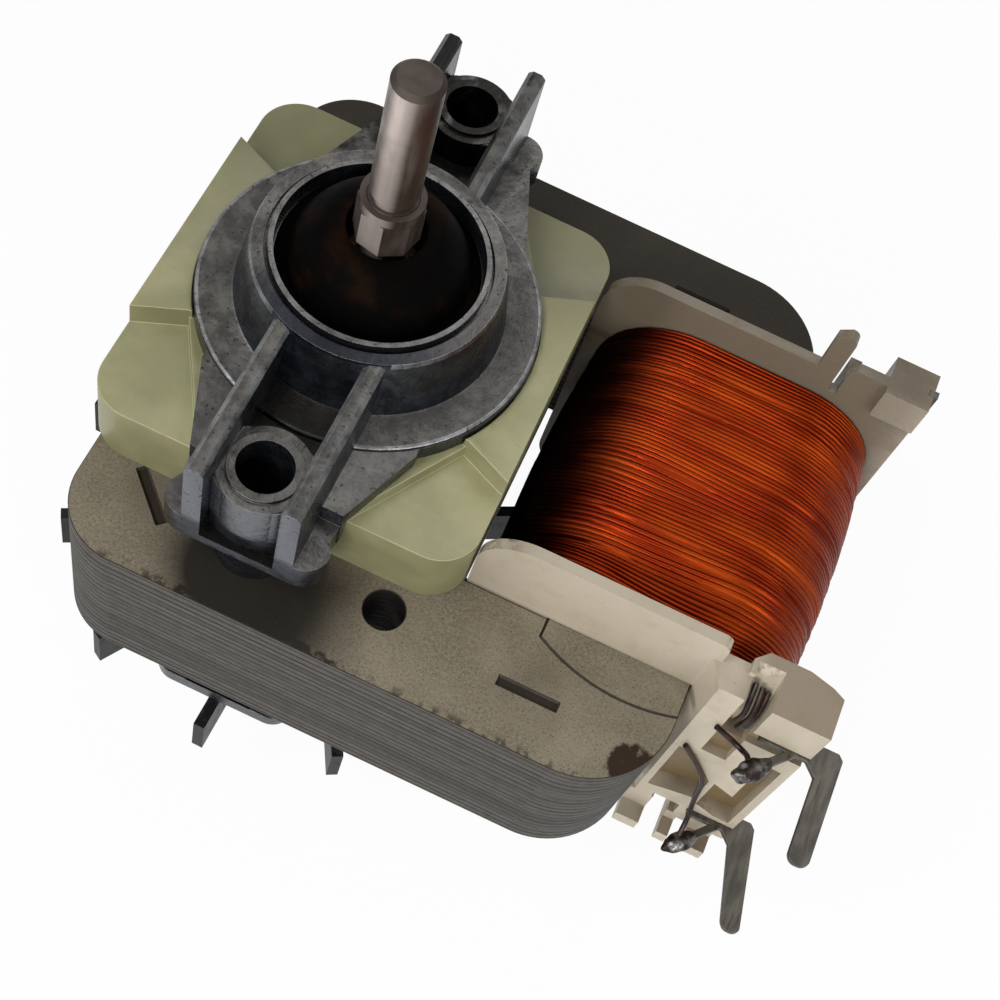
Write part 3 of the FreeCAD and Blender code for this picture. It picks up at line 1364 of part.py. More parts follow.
def make_lead(label, route):
    """A stiff end of the coil's wire, straight from point to point of its route."""
    runs = []
    for index in range(1, len(route)):
        start, finish = route[index - 1], route[index]
        dx, dy, dz = (as_size(finish[axis]) - start[axis] for axis in range(3))
        length = (dx * dx + dy * dy + dz * dz).root()
        run = doc.addObject("Part::Cylinder", "%s_run_%d" % (label, index))
        bind(run, "Radius", s.wire_radius)
        bind(run, "Height", length + s.wire_radius / 2)
        place = "; ".join(as_size(value).text for value in start)
        axis = "; ".join([(-dy).text, dx.text, "0"])
        run.setExpression("Placement", "placement(vector(%s); rotation(vector(%s); acos(%s / %s)))"
                          % (place, axis, dz.text, length.text))
        runs.append(run)
    lead = doc.addObject("Part::MultiFuse", label)
    lead.Shapes = runs
    lead.Label = label
    parts.append(lead)


def make_strip():
    body = new_body("rear_terminal_strip")
    right = s.back_end + s.strip_proud
    flat_block(body, "terminal_strip", level(s.strip_low), s.back_top - s.strip_low - s.slip, [
        (right - s.strip_sheet, s.window_half - s.slip),
        (right, s.window_half - s.slip + s.strip_depth),
    ])


def check_and_export():
    """Stops at a failed object or an empty shape, then writes one STEP file for each piece."""
    doc.recompute()
    for thing in doc.Objects:
        if "Invalid" in thing.State or "Error" in thing.State:
            raise ValueError("%s: %s" % (thing.Name, thing.State))
    for part in parts:
        if part.Shape.isNull() or not part.Shape.isValid():
            raise ValueError("%s has no valid shape" % part.Label)
    os.makedirs("parts", exist_ok=True)
    for part in parts:
        part.Shape.exportStep("parts/%s.step" % part.Label)
        print(part.Label, round(part.Shape.Volume, 1), len(part.Shape.Faces))


make_stator_core()
make_coil_core()
make_shading_ring("shading_ring_front", 1)
make_shading_ring("shading_ring_back", -1)
make_insulator("front_insulator", 1, s.tray_half_x)
make_insulator("rear_insulator", -1, s.rear_tray_half_x)
make_front_bracket()
make_rear_bracket()

front_ball = stack_top + s.ball_height
rear_ball = stack_bottom - s.rear_ball_depth
make_bearing("front_bearing", front_ball)
make_bearing("rear_bearing", rear_ball)
front_chamber = front_ball - s.seat_shoulder
rear_chamber = rear_ball + s.seat_shoulder
make_felt("front_oil_felt", front_chamber, 1, s.felt_bore)
make_felt("rear_oil_felt", rear_chamber, -1, s.rear_felt_bore)
make_retainer("front_retainer", front_chamber, 1, s.felt_bore)
make_retainer("rear_retainer", rear_chamber, -1, s.rear_felt_bore)
make_front_cap()
make_rear_cap()

make_rotor_core()
make_rotor_cage()
make_shaft()
make_collar()
shaft_hole = s.shaft_radius + s.slip
front_end = front_ball - s.ball_half - s.washer_play
rear_end = rear_ball + s.ball_half + s.washer_play
make_ring("front_thrust_washer", front_end, s.washer_height, s.washer_radius, shaft_hole, True)
make_ring("rear_thrust_washer", rear_end, s.washer_height, s.washer_radius, shaft_hole)
make_ring("front_spacer", stack_top, front_end - s.washer_height - stack_top,
          s.washer_radius, shaft_hole)
make_ring("rear_spacer", stack_bottom, stack_bottom - rear_end - s.washer_height,
          s.washer_radius, shaft_hole, True)
make_cooling_fan()
make_ring("fan_clip", stack_bottom - s.fan_drop - s.blade_height, s.clip_sheet, s.clip_radius,
          shaft_hole, True)
make_screw("clamp_screw_front", -1)
make_screw("clamp_screw_back", 1)

lower_tab = stack_bottom - s.tab_height - s.tab_sheet
make_bobbin()
make_winding()
make_tab("terminal_tab_upper", level(s.tab_height), as_size(0), as_size(0))
make_tab("terminal_tab_lower", lower_tab, s.tab_shift, s.tab_splay)
make_solder("solder_upper", level(s.tab_height))
make_solder("solder_lower", lower_tab)
face = -s.face_front - s.wire_radius - s.slip
make_lead("lead_lower", [
    (s.lead_recess_left + s.wire_radius, face, level(-s.wire_floor_low)),
    (s.slot_left + s.strip_sheet, face, level(-s.lead_recess_high - s.tab_height)),
    (s.gap_right, face, level(-s.hook_step)),
    (s.lead_recess_right, face, level(-s.lead_recess_low) + s.tab_height),
    (s.hook_left, face - s.wire_radius * 4, lower_tab + s.tab_sheet + s.solder_wall + s.wire_radius),
])
make_lead("lead_upper", [
    (s.slot_left - s.strip_sheet / 2, face, level(s.wire_radius)),
    (s.slot_right, face, level(-s.tab_height)),
    (s.hook_left, face - s.wire_radius * 6, level(s.tab_height - s.solder_wall - s.wire_radius)),
])
make_strip()
check_and_export()
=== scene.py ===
# %% [markdown]
# # Drying fan motor
#
# A shaded-pole motor: a stack of steel laminations carries a coil on one side and a rotor on the
# other, between two die-cast brackets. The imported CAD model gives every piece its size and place.
# This lesson dresses it: each piece gets its finish, and the pieces whose look comes from fine
# shape, such as the wound wire, are built again in mesh form.

import math
import random

import bmesh
import bpy
from mathutils import Matrix, Vector, noise


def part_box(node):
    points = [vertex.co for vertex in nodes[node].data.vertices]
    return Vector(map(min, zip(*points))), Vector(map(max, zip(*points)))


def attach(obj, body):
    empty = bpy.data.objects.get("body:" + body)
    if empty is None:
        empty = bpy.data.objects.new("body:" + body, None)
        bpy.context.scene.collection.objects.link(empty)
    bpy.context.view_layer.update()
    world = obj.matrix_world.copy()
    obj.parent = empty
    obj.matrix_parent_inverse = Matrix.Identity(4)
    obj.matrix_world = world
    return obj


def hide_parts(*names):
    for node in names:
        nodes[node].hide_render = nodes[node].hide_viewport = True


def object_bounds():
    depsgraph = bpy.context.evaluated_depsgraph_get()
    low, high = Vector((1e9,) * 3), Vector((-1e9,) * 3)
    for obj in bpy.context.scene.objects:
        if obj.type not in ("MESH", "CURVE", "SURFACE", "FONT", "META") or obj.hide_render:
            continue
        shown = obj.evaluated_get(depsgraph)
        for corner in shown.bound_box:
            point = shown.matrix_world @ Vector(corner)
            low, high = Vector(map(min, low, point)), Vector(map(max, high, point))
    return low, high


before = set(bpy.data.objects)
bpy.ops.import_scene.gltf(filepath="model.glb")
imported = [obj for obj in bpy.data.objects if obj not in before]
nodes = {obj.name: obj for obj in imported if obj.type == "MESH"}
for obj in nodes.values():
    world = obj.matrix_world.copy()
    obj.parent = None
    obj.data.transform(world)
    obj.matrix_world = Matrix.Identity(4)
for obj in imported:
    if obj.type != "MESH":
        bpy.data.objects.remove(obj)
cad_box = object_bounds()
MM = 0.001
MM_IN_METRE = 1000
scene = bpy.context.scene
print("nodes:", len(nodes), "box:", [[round(c, 4) for c in corner] for corner in cad_box])

# %% [markdown]
# The camera comes first, because every choice of detail is judged through it. The photograph was
# taken from close by, above the front terminals, and the motor lies turned in the picture, so the
# camera is rolled as well as tilted.

# %% Camera
CAMERA_PLACE = (29.83, -116.22, 172.55)
CAMERA_TURN = (27.032, -10.781, 22.861)
LENS = 62.12
SENSOR = 36
NEAREST = 10

camera_data = bpy.data.cameras.new("camera")
camera_data.lens = LENS
camera_data.sensor_width = SENSOR
camera_data.clip_start = NEAREST * MM
camera = bpy.data.objects.new("camera", camera_data)
camera.location = Vector(CAMERA_PLACE) * MM
camera.rotation_euler = [math.radians(angle) for angle in CAMERA_TURN]
scene.collection.objects.link(camera)
scene.camera = camera
scene.view_settings.view_transform = "Standard"
print("camera at", [round(c, 3) for c in camera.location])

# %% [markdown]
# The light is soft. The large lamp stands to the left, high enough to leave the side of the coil
# next to the rotor in shade, which the wire's colour also paints in, and it draws the bright band
# along the bend of the wires. A smaller one in front adds to the highlight that is painted along
# the shaft and to the glints on the cast edges, which are partly painted too. A third from the
# right keeps the terminals clear, and a weak one behind gives rim lights. Each lamp has its place
# and width in metres and its power in watts. Their sum is kept at a plain level, at which a colour
# looks about as bright as it is written.

# %% Light
LAMP_AIM = (0.02, 0, -0.02)
LAMPS = {
    "window": ((-0.28, -0.28, 0.56), 0.28, 2.3),
    "front": ((-0.01, -0.52, 0.36), 0.14, 1.8),
    "fill": ((0.42, -0.30, 0.28), 0.22, 1.0),
    "rim": ((0.04, 0.30, 0.46), 0.20, 0.6),
}

for name, (place, width, power) in LAMPS.items():
    lamp = bpy.data.lights.new(name, "AREA")
    lamp.size = width
    lamp.energy = power
    lamp_object = bpy.data.objects.new(name, lamp)
    lamp_object.location = place
    aim = Vector(LAMP_AIM) - Vector(place)
    lamp_object.rotation_euler = aim.to_track_quat("-Z", "Y").to_euler()
    scene.collection.objects.link(lamp_object)
print("lamps:", len(LAMPS))

# %% [markdown]
# The floor lies a little below the motor and catches its shadow.

# %% Floor
FLOOR_DROP = 0.012
FLOOR_REACH = 3.0

floor_mesh = bmesh.new()
bmesh.ops.create_grid(floor_mesh, x_segments=1, y_segments=1, size=FLOOR_REACH)
bmesh.ops.translate(floor_mesh, verts=floor_mesh.verts,
                    vec=(0, 0, cad_box[0][2] - FLOOR_DROP))
floor_data = bpy.data.meshes.new("floor")
floor_mesh.to_mesh(floor_data)
floor = bpy.data.objects.new("floor", floor_data)
scene.collection.objects.link(floor)
print("floor at", round(cad_box[0][2] - FLOOR_DROP, 4))

# %% [markdown]
# A finish is a sum of small effects, such as speckle, stains and wear. They are easier to read as
# sums and products than as a list of nodes, so a small class wraps a node's output and adds the
# Math nodes by itself.

# %% A shader value that can be added and multiplied
class Wave:
    """The output of a shader node, with arithmetic."""

    def __init__(self, finish, socket):
        self.finish = finish
        self.socket = socket

    def _math(self, operation, first, second):
        return self.finish.node("ShaderNodeMath", {"operation": operation}, first, second)

    def __add__(self, other):
        return self._math("ADD", self, other)

    __radd__ = __add__

    def __sub__(self, other):
        return self._math("SUBTRACT", self, other)

    def __rsub__(self, other):
        return self._math("SUBTRACT", other, self)

    def __mul__(self, other):
        return self._math("MULTIPLY", self, other)

    __rmul__ = __mul__

    def limit(self):
        """The value held between 0 and 1."""
        return self.finish.node("ShaderNodeClamp", {}, self, 0.0, 1.0)

    def step(self, low, high):
        """0 under low, 1 over high, with a soft climb between."""
        return self.finish.node("ShaderNodeMapRange", {"interpolation_type": "SMOOTHSTEP"},
                                self, low, high, 0.0, 1.0)


class Finish:
    """A material under construction."""

    def __init__(self, name, **constants):
        self.name = name
        self.material = bpy.data.materials.new(name)
        self.material.use_nodes = True
        self.tree = self.material.node_tree
        self.shader = self.tree.nodes["Principled BSDF"]
        for socket, value in constants.items():
            self.shader.inputs[socket.replace("_", " ")].default_value = value

    def node(self, kind, settings, *values, output=0, **named):
        """Adds a node, sets it up, and links or sets its inputs in order or by name."""
        made = self.tree.nodes.new(kind)
        for setting, value in settings.items():
            setattr(made, setting, value)
        sockets = list(zip(made.inputs, values))
        sockets += [(made.inputs[name.replace("_", " ")], value) for name, value in named.items()]
        for socket, value in sockets:
            if isinstance(value, Wave):
                self.tree.links.new(value.socket, socket)
            elif value is not None:
                socket.default_value = value
        return Wave(self, made.outputs[output])

    def place(self, scale=(1, 1, 1)):
        """Object coordinates in millimetres, scaled along each axis."""
        where = self.node("ShaderNodeTexCoord", {}, output="Object")
        return self.node("ShaderNodeMapping", {}, where,
                         Scale=[MM_IN_METRE * part for part in scale])

    def noise(self, scale, detail=3.0, roughness=0.55, stretch=(1, 1, 1)):
        """Clouds or grain; a small stretch along an axis draws them out into lines."""
        return self.node("ShaderNodeTexNoise", {}, Vector=self.place(stretch), Scale=scale,
                         Detail=detail, Roughness=roughness)

    def cells(self, scale):
        """Distance to the nearest of many scattered points."""
        return self.node("ShaderNodeTexVoronoi", {}, Vector=self.place(), Scale=scale,
                         output="Distance")

    def axis(self, letter):
        """One coordinate of a point, in millimetres."""
        return self.node("ShaderNodeSeparateXYZ", {}, self.place(), output=letter)

    def facing(self, letter):
        """How far the surface looks along an axis, from -1 to 1."""
        normal = self.node("ShaderNodeNewGeometry", {}, output="Normal")
        return self.node("ShaderNodeSeparateXYZ", {}, normal, output=letter)

    def top_edges(self):
        """1 where a rounded edge leads from a top face to a wall."""
        return self.facing("Z").step(0.35, 0.5) * (1 - self.facing("Z").step(0.85, 0.97))

    def spot(self, centre, radius, soft=0.5):
        """1 within a radius of a point in millimetres, fading to 0 outside it."""
        away = self.node("ShaderNodeVectorMath", {"operation": "DISTANCE"}, self.place(), centre,
                         output="Value")
        return 1 - away.step(radius * (1 - soft), radius * (1 + soft))

    def mix(self, mask, first, second):
        """A colour between two colours."""
        made = self.tree.nodes.new("ShaderNodeMix")
        made.data_type = "RGBA"
        for socket, value in ((made.inputs[0], mask), (made.inputs[6], first),
                              (made.inputs[7], second)):
            if isinstance(value, Wave):
                self.tree.links.new(value.socket, socket)
            else:
                socket.default_value = (*value, 1.0)
        return Wave(self, made.outputs[2])

    def set(self, **varying):
        """Feeds the shader's own inputs."""
        for socket, value in varying.items():
            self.tree.links.new(value.socket, self.shader.inputs[socket.replace("_", " ")])

    def relief(self, height, depth):
        """Bump from a height between 0 and 1 that stands for a depth in millimetres."""
        self.set(Normal=self.node("ShaderNodeBump", {}, Strength=1.0, Distance=depth * MM,
                                  Height=height))


def dress(finish, *names):
    """Gives CAD nodes a finish."""
    for name in names:
        slots = nodes[name].data.materials
        slots.clear()
        slots.append(finish.material)


print("finish tools ready")

# %% [markdown]
# The laminations are punched from coated steel sheet. Their flat faces are sandy and speckled, with
# oil under the front arm, dirt in the punched slots and rust at the front corner. The arm's shadow
# under the front arm and the shade towards +Y are painted into the flat faces together with that
# oil, and the walls of the front hole through the stack are painted dark as shade. The stack's
# sides show the edge of each sheet as a fine line. The masks for all this come first. A stain or a
# painted shadow that belongs to one place is a soft spot round a point.

# %% Masks on the lamination steel
STACK_TOP = -20.0
HOLE_X, HOLE_Y = 17.9, 30.5
RUST_PLACE = (53.0, -35.6, STACK_TOP)
OIL_AND_SHADOW_PLACES = ((4.5, -36.0, STACK_TOP), (-3.0, -32.0, STACK_TOP))
SLOT_PLACES = ((38.3, -32.5, STACK_TOP), (-13.9, -29.5, STACK_TOP))

sheet_steel = Finish("lamination_steel", Metallic=0.1, Specular_IOR_Level=0.12)
along, height = sheet_steel.axis("Y"), sheet_steel.axis("Z")
sheets = sheet_steel.noise(1.0, detail=1.0, stretch=(0.006, 0.006, 1.2))
scuffs = sheet_steel.noise(0.5, detail=5.0, roughness=0.65).step(0.4, 0.7)
grain = sheet_steel.noise(2.2, detail=6.0, roughness=0.75)
speckle = sheet_steel.noise(4.5, detail=2.0).step(0.56, 0.66)
cloud = sheet_steel.noise(0.10, detail=4.0).step(0.35, 0.7)
blotches = sheet_steel.noise(0.7, detail=5.0)
rust = (sheet_steel.spot(RUST_PLACE, 3.3, 0.7) * blotches).step(0.20, 0.34)
# Oil and painted shade: the spots under the front arm are oil and the arm's painted shadow, and the
# top towards +Y is darkened, partly dirt and partly painted shade.
oil_and_painted_shade = (sheet_steel.spot(OIL_AND_SHADOW_PLACES[0], 10.0, 0.5)
             + sheet_steel.spot(OIL_AND_SHADOW_PLACES[1], 7.0, 0.6) * 0.7 + along.step(17.0, 25.0) * 0.92)
front_edge = (1 - along.step(-39.6, -38.6)) * blotches.step(0.46, 0.60)
pocket = 1 - height.step(STACK_TOP - 0.6, STACK_TOP - 0.2)
top_face = sheet_steel.facing("Z").step(0.3, 0.5)
rim = top_face * (1 - sheet_steel.facing("Z").step(0.8, 0.95)) * (1 - pocket)
# Painted shade: the walls of the front hole through the stack are darkened.
painted_hole_shade = sheet_steel.spot((HOLE_X, -HOLE_Y, STACK_TOP - 2), 4.0, 0.3)
slot_dirt = ((sheet_steel.spot(SLOT_PLACES[0], 4.2, 0.5)
              + sheet_steel.spot(SLOT_PLACES[1], 3.6, 0.5)) * grain.step(0.45, 0.6))
print("spots on the stack:", 2 + len(OIL_AND_SHADOW_PLACES) + len(SLOT_PLACES))

# %% [markdown]
# One finish does flat faces and sides: the way a face looks decides which of the two it shows.
# Each mask mixes one more colour into the tone, from the broad clouds to the deep pockets.

# %% Lamination steel
flat_tone = sheet_steel.mix(cloud, (0.125, 0.105, 0.072), (0.185, 0.158, 0.112))
flat_tone = sheet_steel.mix(grain.step(0.42, 0.62) * 0.6, flat_tone, (0.225, 0.195, 0.148))
flat_tone = sheet_steel.mix(speckle * 0.7, flat_tone, (0.050, 0.041, 0.030))
flat_tone = sheet_steel.mix(rust * 0.95, flat_tone, (0.014, 0.0045, 0.0015))
flat_tone = sheet_steel.mix((oil_and_painted_shade + front_edge * 0.7).limit() * 0.95, flat_tone,
                            (0.008, 0.007, 0.0055))
flat_tone = sheet_steel.mix(slot_dirt.limit() * 0.45, flat_tone, (0.030, 0.022, 0.014))
flat_tone = sheet_steel.mix(rim * 0.85, flat_tone, (0.016, 0.010, 0.006))
flat_tone = sheet_steel.mix(pocket * 0.92, flat_tone, (0.012, 0.008, 0.005))
side_tone = sheet_steel.mix(sheets.step(0.40, 0.60), (0.054, 0.050, 0.045), (0.088, 0.081, 0.073))
side_tone = sheet_steel.mix(scuffs * 0.5, side_tone, (0.034, 0.030, 0.026))
side_tone = sheet_steel.mix(speckle * 0.35, side_tone, (0.15, 0.14, 0.125))
side_tone = sheet_steel.mix(painted_hole_shade.limit() * 0.95, side_tone, (0.006, 0.005, 0.004))
sheet_steel.set(Base_Color=sheet_steel.mix(top_face, side_tone, flat_tone),
                Roughness=0.44 + grain * 0.25)
sheet_steel.relief(top_face * grain * 0.5 + (1 - top_face) * sheets, 0.10)
dress(sheet_steel, "rotor_core")
print("lamination steel nodes:", len(sheet_steel.tree.nodes))

# %% [markdown]
# The bobbin is moulded in ivory plastic. Years of warm, dusty air have greyed its tops and left
# brown dirt along its edges and where it meets the stack. Its far flange and its end towards the
# rotor are painted dark as shade. The recesses in the terminal block have a tan floor, partly dirt
# and partly painted shade.

# %% Bobbin plastic
ivory = Finish("bobbin_plastic", Specular_IOR_Level=0.4)
across, along, height = (ivory.axis(letter) for letter in "XYZ")
smear = ivory.noise(0.22, detail=5.0, roughness=0.6).step(0.45, 0.75)
dust = ivory.facing("Z").step(0.6, 0.95)
flecks = ivory.noise(1.9, detail=5.0, roughness=0.7).step(0.62, 0.72)
# The tan floor of the recesses: partly dirt, partly painted shade.
recess_dirt_and_shade = (along.step(-24.6, -24.3) * (1 - along.step(-22.7, -22.5)) * across.step(56.0, 57.0)
          * (1 - ivory.facing("Y").step(-0.9, -0.7)))
# Painted shade: the far flange, towards +Y, and the end towards the rotor are darkened.
painted_shade = (along.step(17.0, 21.0) * 0.92 * (1 - across.step(66.0, 74.0) * 0.8)
         + (1 - across.step(26.0, 38.0)) * 0.25)
foot = (1 - height.step(-20.2, -19.2)) * height.step(-21.5, -21.0) * (1 - across.step(57.0, 58.0))
dirt_line = foot + ivory.top_edges() * ivory.noise(0.9, detail=3.0).step(0.45, 0.62)
tone = ivory.mix(smear * 0.4, (0.50, 0.435, 0.335), (0.36, 0.29, 0.195))
tone = ivory.mix(dust * 0.7, tone, (0.290, 0.245, 0.180))
tone = ivory.mix(dust * across.step(59.0, 63.0) * 0.75, tone, (0.155, 0.115, 0.075))
tone = ivory.mix(recess_dirt_and_shade * 0.95, tone, (0.170, 0.115, 0.045))
tone = ivory.mix((flecks * 0.55 + painted_shade).limit() * 0.85, tone, (0.062, 0.045, 0.024))
tone = ivory.mix(dirt_line.limit() * 0.55, tone, (0.060, 0.045, 0.026))
ivory.set(Base_Color=tone, Roughness=0.42 + smear * 0.25)
ivory.relief(ivory.noise(1.6, detail=4.0), 0.05)
dress(ivory, "front_spacer", "rear_spacer")
print("bobbin plastic nodes:", len(ivory.tree.nodes))

# %% [markdown]
# The insulators are pale green, slightly see-through plastic. A little light passes below the
# surface, which a subsurface weight gives without any texture. Their rounded edges get a painted
# highlight, and the side away from the light, towards +Y, is painted darker as shade.

# %% Insulator plastic
jade = Finish("insulator_plastic", Subsurface_Weight=0.2, Subsurface_Scale=0.002,
              Specular_IOR_Level=0.45)
murk = jade.noise(0.09, detail=4.0).step(0.35, 0.7)
shaded = jade.axis("Y").step(-6.0, 22.0)
tone = jade.mix(murk, (0.205, 0.200, 0.098), (0.295, 0.280, 0.152))
tone = jade.mix(shaded * 0.75, tone, (0.092, 0.090, 0.036))
soil = jade.noise(0.8, detail=6.0, roughness=0.7).step(0.62, 0.8)
# Painted highlight: the rounded edges are paler, less so on the shaded side.
painted_edge_highlight = jade.top_edges() * (1 - shaded * 0.6)
tone = jade.mix(painted_edge_highlight * 0.5, tone, (0.44, 0.43, 0.28))
jade.set(Base_Color=jade.mix(soil * 0.5, tone, (0.09, 0.08, 0.045)),
         Roughness=0.38 + murk * 0.15)
jade.relief(jade.noise(0.6, detail=4.0), 0.06)
print("insulator plastic nodes:", len(jade.tree.nodes))

# %% [markdown]
# The brackets are die-cast. The casting skin is mottled grey. Its walls are painted a colder,
# darker, bluish grey as shade and reflection, and faces that look up are painted paler and warmer
# as lit faces.

# %% Skin of the castings
casting = Finish("die_cast_metal", Metallic=0.8, Specular_IOR_Level=0.3)
mottle = casting.noise(0.38, detail=6.0, roughness=0.68)
blotch = mottle.step(0.38, 0.66)
patch = casting.noise(0.11, detail=3.0).step(0.4, 0.65)
pores = casting.noise(1.7, detail=3.0).step(0.62, 0.68)
level_face = casting.facing("Z").step(0.35, 0.9)
# Painted shade and light: walls get a darker, bluish tone, faces that look up a paler, warmer one.
shaded_wall_tone = casting.mix(blotch, (0.022, 0.025, 0.033), (0.056, 0.062, 0.074))
lit_top_tone = casting.mix(blotch, (0.050, 0.047, 0.043), (0.104, 0.099, 0.091))
tone = casting.mix(level_face, shaded_wall_tone, lit_top_tone)
tone = casting.mix(patch * 0.4, tone, (0.048, 0.048, 0.050))
print("casting skin nodes:", len(casting.tree.nodes))

# %% [markdown]
# The castings are worn bright on the rims and edges, where a painted highlight is added as well,
# and the front arm's end and the web's front wall are painted light. The ring's front face and the
# right side are painted dark as shade, and the channels of the arms and the far arm are black with
# oily dust and painted shade. A rim is a band between two radii and two heights.

# %% Wear, oil and painted light and shade on the castings
across, along, height = (casting.axis(letter) for letter in "XYZ")
from_axis = casting.node("ShaderNodeVectorMath", {"operation": "LENGTH"},
                         casting.place((1, 1, 0)), output="Value")


def rim_band(inner, outer, lowest, highest):
    """1 on a rim between two radii and two heights."""
    return (from_axis.step(inner - 0.1, inner) * (1 - from_axis.step(outer, outer + 0.1))
            * height.step(lowest, lowest + 0.1) * (1 - height.step(highest, highest + 0.1)))


beside_arm = across.step(-7.6, -7.5) * (1 - across.step(7.5, 7.6))
# Painted shade: the front part of the ring's face is darkened.
painted_ring_shade = rim_band(13.4, 15.35, 3.0, 5.2) * (1 - along.step(-13.0, -4.0))
tone = casting.mix(painted_ring_shade * 0.85, tone, (0.012, 0.014, 0.020))
# Painted shade: the right side of the casting is darkened.
painted_right_shade = across.step(9.0, 20.0) * 0.45
tone = casting.mix(painted_right_shade, tone, (0.020, 0.019, 0.018))
# Painted light: the front arm's end and the web's front wall are lit faces painted bright.
lit_arm_end = ((1 - along.step(-38.5, -35.0)) * (1 - casting.facing("Y").step(-0.9, -0.3))
           * height.step(-9.0, -6.0))
lit_web_wall = ((1 - along.step(-33.9, -33.5)) * along.step(-36.5, -36.0)
            * (1 - casting.facing("Y").step(-0.8, -0.2)) * height.step(-8.5, -6.5))
tone = casting.mix((lit_arm_end + lit_web_wall).limit() * 0.75, tone, (0.170, 0.175, 0.195))
# Wear and painted highlight: rims and edges are brightened, less on the far side.
edge_wear_and_highlight = (level_face * (1 - casting.facing("Z").step(0.85, 0.97))
             * (1 - along.step(12.0, 24.0) * 0.8))
wear_and_highlight = (rim_band(15.3, 16.1, 3.6, 4.5) * (1 - beside_arm) + rim_band(12.6, 13.4, 4.7, 5.2) * 0.25
        + rim_band(21.05, 21.6, -5.1, -4.5) + edge_wear_and_highlight * 0.8)
tone = casting.mix(wear_and_highlight.limit() * (0.30 + blotch * 0.55), tone, (0.26, 0.26, 0.27))
# Painted shade: the channels between the ribs and the far arm are darkened, along with real oil
# stains from the noise.
painted_channel_shade = (across.step(-5.3, -4.5) * (1 - across.step(4.5, 5.3)) * (1 - height.step(-2.0, -1.2))
           * level_face)
painted_far_arm_shade = along.step(15.0, 24.0) * (0.42 - across.step(2.0, 6.5) * 0.30)
oil = (casting.noise(0.3, detail=4.0) + painted_channel_shade * 0.6 + painted_far_arm_shade).step(0.66, 0.92)
tone = casting.mix(pores * 0.8, tone, (0.010, 0.009, 0.007))
casting.set(Base_Color=casting.mix(oil * 0.92, tone, (0.005, 0.0045, 0.004)),
            Roughness=0.12 + mottle * 0.30 + level_face * 0.08)
casting.relief(casting.noise(1.1, detail=5.0, roughness=0.6), 0.08)
print("die-cast metal nodes:", len(casting.tree.nodes))

# %% [markdown]
# The shaft is ground steel with brown stains and a dull tip. How far its surface looks along X
# decides where a highlight is painted into its colour: a bright band along the front and along the
# back, with brown between.
# The collar, washers, retainers and fan clip share the finish.

# %% Shaft steel
shaft_steel = Finish("shaft_steel", Metallic=0.58, Anisotropic=0.4)
streak = shaft_steel.noise(1.0, detail=3.0, stretch=(0.5, 0.5, 0.09))
stain = shaft_steel.noise(0.25, detail=5.0).step(0.40, 0.66)
sideways = shaft_steel.facing("X")
# Painted highlight: a bright band where the surface looks along Y.
painted_highlight_band = sideways.step(-0.80, -0.25) * (1 - sideways.step(0.05, 0.50))
tip_face = shaft_steel.facing("Z").step(0.3, 0.6)
tone = shaft_steel.mix(stain, (0.082, 0.056, 0.043), (0.042, 0.026, 0.018))
tone = shaft_steel.mix(painted_highlight_band * 0.92, tone, (0.66, 0.565, 0.52))
tone = shaft_steel.mix(streak.step(0.4, 0.65) * 0.3, tone, (0.30, 0.25, 0.225))
tone = shaft_steel.mix(stain * (1 - streak) * 0.35, tone, (0.070, 0.046, 0.034))
shaft_steel.set(Base_Color=shaft_steel.mix(tip_face * 0.94, tone, (0.018, 0.010, 0.006)),
                Roughness=0.28 + stain * 0.14 + tip_face * 0.30)
shaft_steel.relief(shaft_steel.noise(3.0, detail=3.0), 0.01)
dress(shaft_steel, "shaft", "shaft_collar", "front_thrust_washer", "rear_thrust_washer",
      "fan_clip", "front_retainer", "rear_retainer")
print("shaft steel nodes:", len(shaft_steel.tree.nodes))

# %% [markdown]
# The bearing caps are black, and oil that creeps out of the bearing browns them near the collar.
# The fan is black plastic with a little chalky dust, and the felts are brown with oil.

# %% Bearing caps, fan and felt
soot = Finish("dark_cap", Specular_IOR_Level=0.02)
near_collar = soot.axis("Z").step(4.0, 9.5)
oil = (soot.noise(0.18, detail=5.0) + near_collar * 0.12).step(0.56, 0.82)
soot.set(Base_Color=soot.mix(oil, (0.0008, 0.0006, 0.0005), (0.0085, 0.0034, 0.0013)),
         Roughness=0.45 + soot.noise(0.6, detail=4.0) * 0.35)
soot.relief(soot.noise(1.4, detail=4.0), 0.04)
dress(soot, "rear_bearing_cap")

fan_black = Finish("fan_plastic", Specular_IOR_Level=0.15)
chalk = fan_black.noise(0.5, detail=5.0).step(0.5, 0.75)
fan_black.set(Base_Color=fan_black.mix(chalk, (0.006, 0.006, 0.0065), (0.026, 0.025, 0.023)),
              Roughness=0.42 + chalk * 0.2)
dress(fan_black, "cooling_fan")

felt = Finish("oil_felt")
fibre = felt.noise(3.5, detail=6.0, roughness=0.7)
felt.set(Base_Color=felt.mix(fibre, (0.10, 0.07, 0.04), (0.30, 0.22, 0.13)),
         Roughness=0.7 + fibre * 0.2)
felt.relief(fibre, 0.3)
dress(felt, "front_oil_felt", "rear_oil_felt")
print("finishes so far:", len(bpy.data.materials))

# %% [markdown]
# The metals left over are plain: tarnished tin on the terminals, with scratches along them, zinc
# on the screws, bare copper in the shading rings, porous bronze in the bearings and cast
# aluminium in the rotor's cage. A few clouds in colour and gloss are enough for each.

